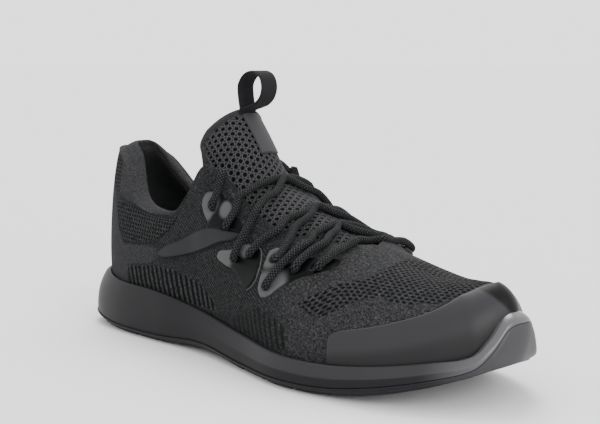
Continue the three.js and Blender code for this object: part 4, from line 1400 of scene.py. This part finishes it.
def build_net():
    """Hexagons with a round hole each, copied over the tongue and bent to it."""
    pitch, hole, corners = 4 * MM, 0.95 * MM, 12
    turn = np.arange(corners) * 2 * math.pi / corners
    hexagon = pitch / 2 / np.cos((turn + math.pi / 6) % (math.pi / 3) - math.pi / 6)
    reaches = (hexagon, 0.86 * hexagon, 0.3 * hexagon + 0.75 * hole, hole + 0.25 * MM, hole + 0.1 * MM)
    depths = np.array([0.25, 0, 0.22, 0.6, 1.3]) * MM
    cell, i, j = grid("tongue_net", corners, len(depths) - 1)
    k, ring = (i % corners).astype(int), j.astype(int)
    reach = np.array([np.broadcast_to(row, corners) for row in reaches])[ring, k]
    angle = turn[k]
    set_points(cell, np.stack([-reach * np.cos(angle), reach * np.sin(angle), -depths[ring]], -1))
    merge(cell)
    step = pitch * math.sqrt(3) / 2
    across = int((tongue_halves.max() + pitch) / step) + 1
    up = int(tongue_length[-1] / pitch + 1) + 2
    shifted = cell.copy()
    shifted.data = cell.data.copy()
    bpy.context.scene.collection.objects.link(shifted)
    set_points(shifted, points_of(shifted) + np.array([step, pitch / 2, 0]))
    net = join(cell, shifted)
    for count, offset in ((across, (2 * step, 0, 0)), (up, (0, pitch, 0))):
        only(net)
        repeat = net.modifiers.new("repeat", "ARRAY")
        repeat.count = count
        repeat.use_relative_offset = False
        repeat.use_constant_offset = True
        repeat.constant_offset_displace = offset
        bpy.ops.object.modifier_apply(modifier=repeat.name)
    merge(net, 0.02 * MM)
    x, y, z = points_of(net).T
    u = np.interp(y, tongue_length, tongue_rows)
    side = (x - (across - 0.5) * step) / half_width(u)
    limit = net_limit(u)
    beyond = (np.abs(side) > limit) | (y > tongue_length[-1]) | (u < 0.1)
    side = np.clip(side, -limit, limit)
    set_points(net, tongue_point(u, side, under_rim(u, side, 0.15 * MM - z)))
    # rise: 1 at the mesh's face, 0 at the bottom of a hole, for the painted shade in the holes
    note(net, "rise", 1 - z / -depths[-1])
    delete_faces(net, faces_within(net, beyond))
    in_edit_mode(net, lambda: bpy.ops.mesh.delete_loose(use_verts=True, use_edges=True, use_faces=False))
    return net


def build_hem():
    """The knitted binding round the tongue's free edge."""
    radius, sunk, start, corner = 2.1 * MM, 1.4 * MM, 5.2, 0.82
    climb = np.linspace(start, TONGUE_TOP - 0.25, 14)
    across = np.linspace(-corner, corner, 15)
    u = np.concatenate([climb, np.full_like(across, TONGUE_TOP), climb[::-1]])
    side = np.concatenate([np.full_like(climb, -1), across, np.full_like(climb, 1)])
    path = tongue_point(u, side, sunk)
    return tube("tongue_binding", curve_through(path, 0.8 * MM), radius, 16)


def strip(name, columns, rows, at, size, top, thick, bottom, corner, open_ends=False):
    """A thin strip on the tongue with a rounded rim. top and bottom are how far it is sunk."""
    width, length = size

    def face(a, b):
        edge = np.minimum(a, 1 - a) * width
        if not open_ends:
            edge = np.minimum(edge, np.minimum(b, 1 - b) * length)
        return top - thick * rounding(edge, corner)

    def flat(a, b):
        return a * width, b * length

    return tongue_sheet(name, columns, rows, at, face, lambda a, b: bottom, flat)


def build_gusset():
    """The stretch cloth between the open mesh and the throat, one band a side."""
    start, end, overlap = 3.2, 8.0, 0.03
    size = (12 * MM, 60 * MM)
    bands = []
    for sign in (-1, 1):

        def at(a, b):
            u = start + b * (end - start)
            inner = net_limit(u) - overlap
            return u, (inner + (1 - inner) * a) * sign

        depths = (0.75 * MM, 0.8 * MM, 1 * MM)
        bands.append(strip("tongue_gusset", 20, 90, at, size, *depths, 0.8 * MM, open_ends=True))
    flip(bands[0])
    return join(*bands)


def build_patch():
    start, end, left, right = 7.72, 9.85, -0.14, 0.3
    under = -0.1 * MM

    def at(a, b):
        return start + b * (end - start), left + (right - left) * a

    depths = (under, PATCH_THICKNESS - under, under)
    return strip("tongue_front_patch", 30, 44, at, (15 * MM, 22 * MM), *depths, 0.6 * MM)


# The pull loop's middle line: x is a share of the shoe's length, z of the heel's height.
LOOP = table(
    "x z", (-0.114, 1.172), (-0.112, 1.2145), (-0.1155, 1.27), (-0.116, 1.335), (-0.102, 1.383),
    (-0.079, 1.4), (-0.06, 1.378), (-0.053, 1.33), (-0.058, 1.277), (-0.073, 1.24), (-0.092, 1.222),
    (-0.108, 1.208), (-0.115, 1.186),
)


def build_loop():
    step = 0.5 * MM
    rows = np.stack([LOOP["x"] * SHOE_LENGTH, 0 * LOOP["x"], LOOP["z"] * HEEL_HEIGHT], -1)
    path = curve_through(rows, step)
    length = len(path) * step
    along = unit(np.gradient(path, axis=0))
    off = np.stack([-along[:, 2], 0 * along[:, 0], along[:, 0]], -1)
    numbers = np.arange(len(path))

    def between(values, k):
        return np.stack([np.interp(k, numbers, values[:, c]) for c in range(3)], -1)

    def face(lift):
        def points(a, b):
            k = a * (len(path) - 1)
            point = between(path, k)
            point[:, 1] = INSTEP_Y + (b - 0.5) * LOOP_WIDTH
            edge = np.minimum(np.minimum(b, 1 - b) * LOOP_WIDTH, np.minimum(a, 1 - a) * length)
            half = lift * LOOP_THICKNESS / 2 * rounding(edge, 0.6 * MM)
            return point + unit(between(off, k)) * half[:, None]

        return points

    def flat(a, b):
        return a * length, b * LOOP_WIDTH

    return sheet("webbing_loop", 180, 16, face(1), face(-1), flat)


# Laces: half a stretch, on the upper by station and height, then over the tongue by row, side and
# lift off its face, to the crest, its row in the middle. hole is where the eyelet is.
LACE_HALVES = {
    "a": {
        "hole": (5.67, 0.73), "upper": [(5.76, 0.75), (5.79, 0.9), (5.75, 0.99)],
        "tongue": [(5.5, 0.74, 4.8), (5.73, 0.42, 0.6)], "crest": 5.85,
    },
    "b": {
        "hole": (5.92, 0.57), "upper": [(6.01, 0.58), (6.07, 0.75), (6.07, 0.9), (6.05, 0.99)],
        "tongue": [(4.9, 0.68, 3.2), (5.12, 0.36, 0.6)], "crest": 5.6,
    },
    "c": {
        "hole": (6.22, 0.68), "upper": [(6.38, 0.68), (6.45, 0.82), (6.56, 0.95)],
        "tongue": [(4.04, 0.66, 2), (4.04, 0.34, 0.5)], "crest": 4.2,
    },
    "d": {
        "hole": (6.8, 0.72), "upper": [(6.9, 0.69), (6.88, 0.88)],
        "tongue": [(3.5, 0.68, 2.2), (3.75, 0.36, 0.5)], "crest": 4.15,
    },
    "e": {
        "hole": (6.75, 0.49), "upper": [(6.86, 0.48), (6.98, 0.63), (7.09, 0.78), (7.13, 0.93)],
        "tongue": [(2.68, 0.6, 1.8), (2.8, 0.32, 0.5)], "crest": 2.95,
    },
    "f": {
        "hole": (7.18, 0.66), "upper": [(7.23, 0.65), (7.29, 0.81), (7.33, 0.94)],
        "tongue": [(2.22, 0.46, 1.8), (2.45, 0.22, 0.5)], "crest": 2.75,
    },
    "g": {
        "hole": (7.52, 0.7), "upper": [(7.57, 0.65), (7.65, 0.78), (7.69, 0.9), (7.69, 0.99)],
        "tongue": [(1.45, 0.34, 1.0)], "crest": 1.55,
    },
}
LACE_TOP = {
    "hole": (5.36, 0.745),
    "upper": [(5.4, 0.79), (5.42, 0.84), (5.42, 0.89), (5.42, 0.94), (5.41, 0.995)],
    "tongue": [],
}
LACE_TOP_STATION = 5.41
LACE_ROWS = {
    "lace_1": ("ab", "ba"), "lace_2": ("cd", "dc"), "lace_3": ("ef", "fe"), "lace_4": ("gg",),
}
LACE_RADIUS = LACE_DIAMETER / 2
# What differs on the inner side: how far the lace reaches across the tongue, how much of its lift it
# has there, and how far it sinks at the throat's edge.
LACE_SIDES = {
    -1: {"reach": -1, "lift": 1, "sink": 1.3 * MM, "over": 2.2 * MM},
    1: {"reach": 0.75, "lift": 0.15, "sink": 2.8 * MM, "over": 0.6 * MM},
}


def half_points(half, side):
    """The points of half a stretch, from inside its eyelet to the middle."""
    own = LACE_SIDES[side]
    over_film = OVER_UPPER + FILM_THICKNESS + 1.5 * GAP + LACE_RADIUS

    def on_upper(s, v, off):
        s = np.array([s if side < 0 else ROUND - s])
        return upper_point(s, np.array([v]), off - own["sink"] * smooth((v - 0.74) / 0.16))[0]

    upper = half["upper"]
    near_hole = on_upper(*half["hole"], over_film * 0.9)
    points = [on_upper(*half["hole"], -5 * MM), on_upper(*half["hole"], -1 * MM)]
    points.append((on_upper(*upper[0], over_film) * 2 + near_hole) / 3)
    points += [on_upper(s, v, over_film) for s, v in upper[1 if len(upper) > 2 else 0:]]
    for u, share, lift in half["tongue"]:
        sunk = -LACE_RADIUS - GAP - own["lift"] * lift * MM
        points.append(tongue_point(u, own["reach"] * share, sunk)[0])
    return points


def braided(node, *stretches):
    """A lace piece, a little fuller than its solid, and the solid that it replaces."""
    step, fuller, around = 0.5 * MM, 1.05, 24
    paths = [curve_through(points, step) for points in stretches]
    tubes = [tube("braided_" + node, path, LACE_RADIUS * fuller, around) for path in paths]
    return join(*tubes), node


def build_laces():
    pieces = []
    for node, rows in LACE_ROWS.items():
        stretches = []
        for lateral, medial in rows:
            first, second = LACE_HALVES[lateral], LACE_HALVES[medial]
            crest = (first["crest"] + second["crest"]) / 2
            middle = tongue_point(crest, 0, -LACE_RADIUS - 2 * GAP)[0]
            stretches.append(half_points(first, -1) + [middle] + half_points(second, 1)[::-1])
        pieces.append(braided(node, *stretches))
    for node, side in (("lace_top_lateral", -1), ("lace_top_medial", 1)):
        s = np.array([LACE_TOP_STATION if side < 0 else ROUND - LACE_TOP_STATION])
        over = upper_point(s, np.array([1.0]), 0.5 * MM)[0] + np.array([0, 0, LACE_SIDES[side]["over"]])
        down = inner_point(s, np.array([0.9]), np.array([UPPER_WALL + 2.2 * MM]))[0]
        pieces.append(braided(node, half_points(LACE_TOP, side) + [over, down]))
    return pieces


# The shoe
# The fourth number is how much paler each gets at the toe, a painted highlight
foam = foam_look("charcoal_foam", (33, 32, 35), 0.42, 56, 0.9)
rubber = foam_look("charcoal_rubber", (37, 36, 39), 0.45, 38, 0.1)
liner = cloth_look("sock_cloth", (16, 17, 18), (44, 45, 46), 1.2 * MM, 0.15 * MM)
backing = cloth_look("tongue_lining", (7, 7, 8), (16, 16, 17), 1.0 * MM, 0.1 * MM)
stretch = cloth_look("stretch_cloth", (26, 27, 28), (52, 53, 54), 0.7 * MM, 0.1 * MM)
binding = cloth_look("tongue_hem", (36, 36, 38), (78, 78, 80), 1.3 * MM, 0.2 * MM)
webbing = cloth_look("loop_webbing", (20, 20, 22), (50, 50, 53), 0.8 * MM, 0.15 * MM)
patch_cloth = cloth_look("patch_film", (58, 58, 60), (80, 80, 82), 0.9 * MM, 0.06 * MM, 0.6)

finish_piece(build_upper(), knit_look(), "knit", "upper", angle=70)
finish_piece(build_midsole(), foam, "midsole", "midsole")
finish_piece(build_outsole(), rubber, "outsole", "outsole", angle=40)
finish_piece(build_insole(), liner, "lining", "insole")
finish_piece(build_guard(), guard_look(), "toe_film", "toe_guard", angle=70)
finish_piece(build_tongue(), backing, "tongue_mesh", "tongue", angle=70)
finish_piece(build_net(), net_look(), "tongue_mesh", angle=80)
finish_piece(build_gusset(), stretch, "tongue_mesh", angle=70)
finish_piece(build_hem(), binding, "tongue_mesh", angle=80)
finish_piece(build_patch(), patch_cloth, "patch", "tongue_patch")
finish_piece(build_loop(), webbing, "webbing", "pull_loop", angle=70)
film = film_look()
for number, (name, area) in enumerate(FILMS.items()):
    for side in ("lateral", "medial"):
        piece = build_film(f"pressed_{name}_{side}", number, area, side == "medial")
        finish_piece(piece, film, "eyelet_film", f"film_{name}_{side}", angle=70)
braid = braid_look()
for piece, node in build_laces():
    finish_piece(piece, braid, "lace", node, angle=80)

# Floor, light and camera
FLOOR_SIZE, FLOOR_CELLS = 80, 8
floor, i, j = grid("floor", FLOOR_CELLS, FLOOR_CELLS)
set_points(floor, np.stack([i / FLOOR_CELLS - 0.5, j / FLOOR_CELLS - 0.5, 0 * i], -1) * FLOOR_SIZE)
floor_look = Look("pale_floor", 0.9, Specular_IOR_Level=0.0)
floor_tone = floor_look.noise(floor_look.place(), 3, 2)
floor_look.give(Base_Color=floor_look.mix(floor_tone, (0.63, 0.63, 0.63, 1), (0.64, 0.64, 0.64, 1)))
floor.data.materials.append(floor_look.material)

world = bpy.data.worlds.new("studio")
bpy.context.scene.world = world
world.use_nodes = True
background = world.node_tree.nodes["Background"]
background.inputs[0].default_value = (1, 1, 1, 1)
background.inputs[1].default_value = STUDIO_LIGHT


def sun(name, toward, strength, spread):
    """A broad distant light that shines from the given side."""
    bpy.ops.object.light_add(type="SUN")
    light = bpy.context.active_object
    light.name = name
    light.rotation_euler = Vector(toward).to_track_quat("Z", "Y").to_euler()
    light.data.energy = strength
    light.data.angle = math.radians(spread)


sun("key_light", (-0.4, 0.4, 1), 2.8, 30)
sun("toe_light", (1, -0.2, 0.45), 2.6, 40)

CAMERA_PLACE = (0.446, -0.4291, 0.1566)
CAMERA_WAY = (-0.7062, 0.6963, -0.1283)
SENSOR_WIDTH = 36
FOCAL_LENGTH = 69.65
bpy.ops.object.camera_add(location=CAMERA_PLACE)
camera = bpy.context.active_object
camera.rotation_euler = Vector(CAMERA_WAY).to_track_quat("-Z", "Y").to_euler()
camera.data.sensor_width = SENSOR_WIDTH
camera.data.lens = FOCAL_LENGTH
camera.data.clip_end = 200
camera.data.clip_start = 0.01
bpy.context.scene.camera = camera
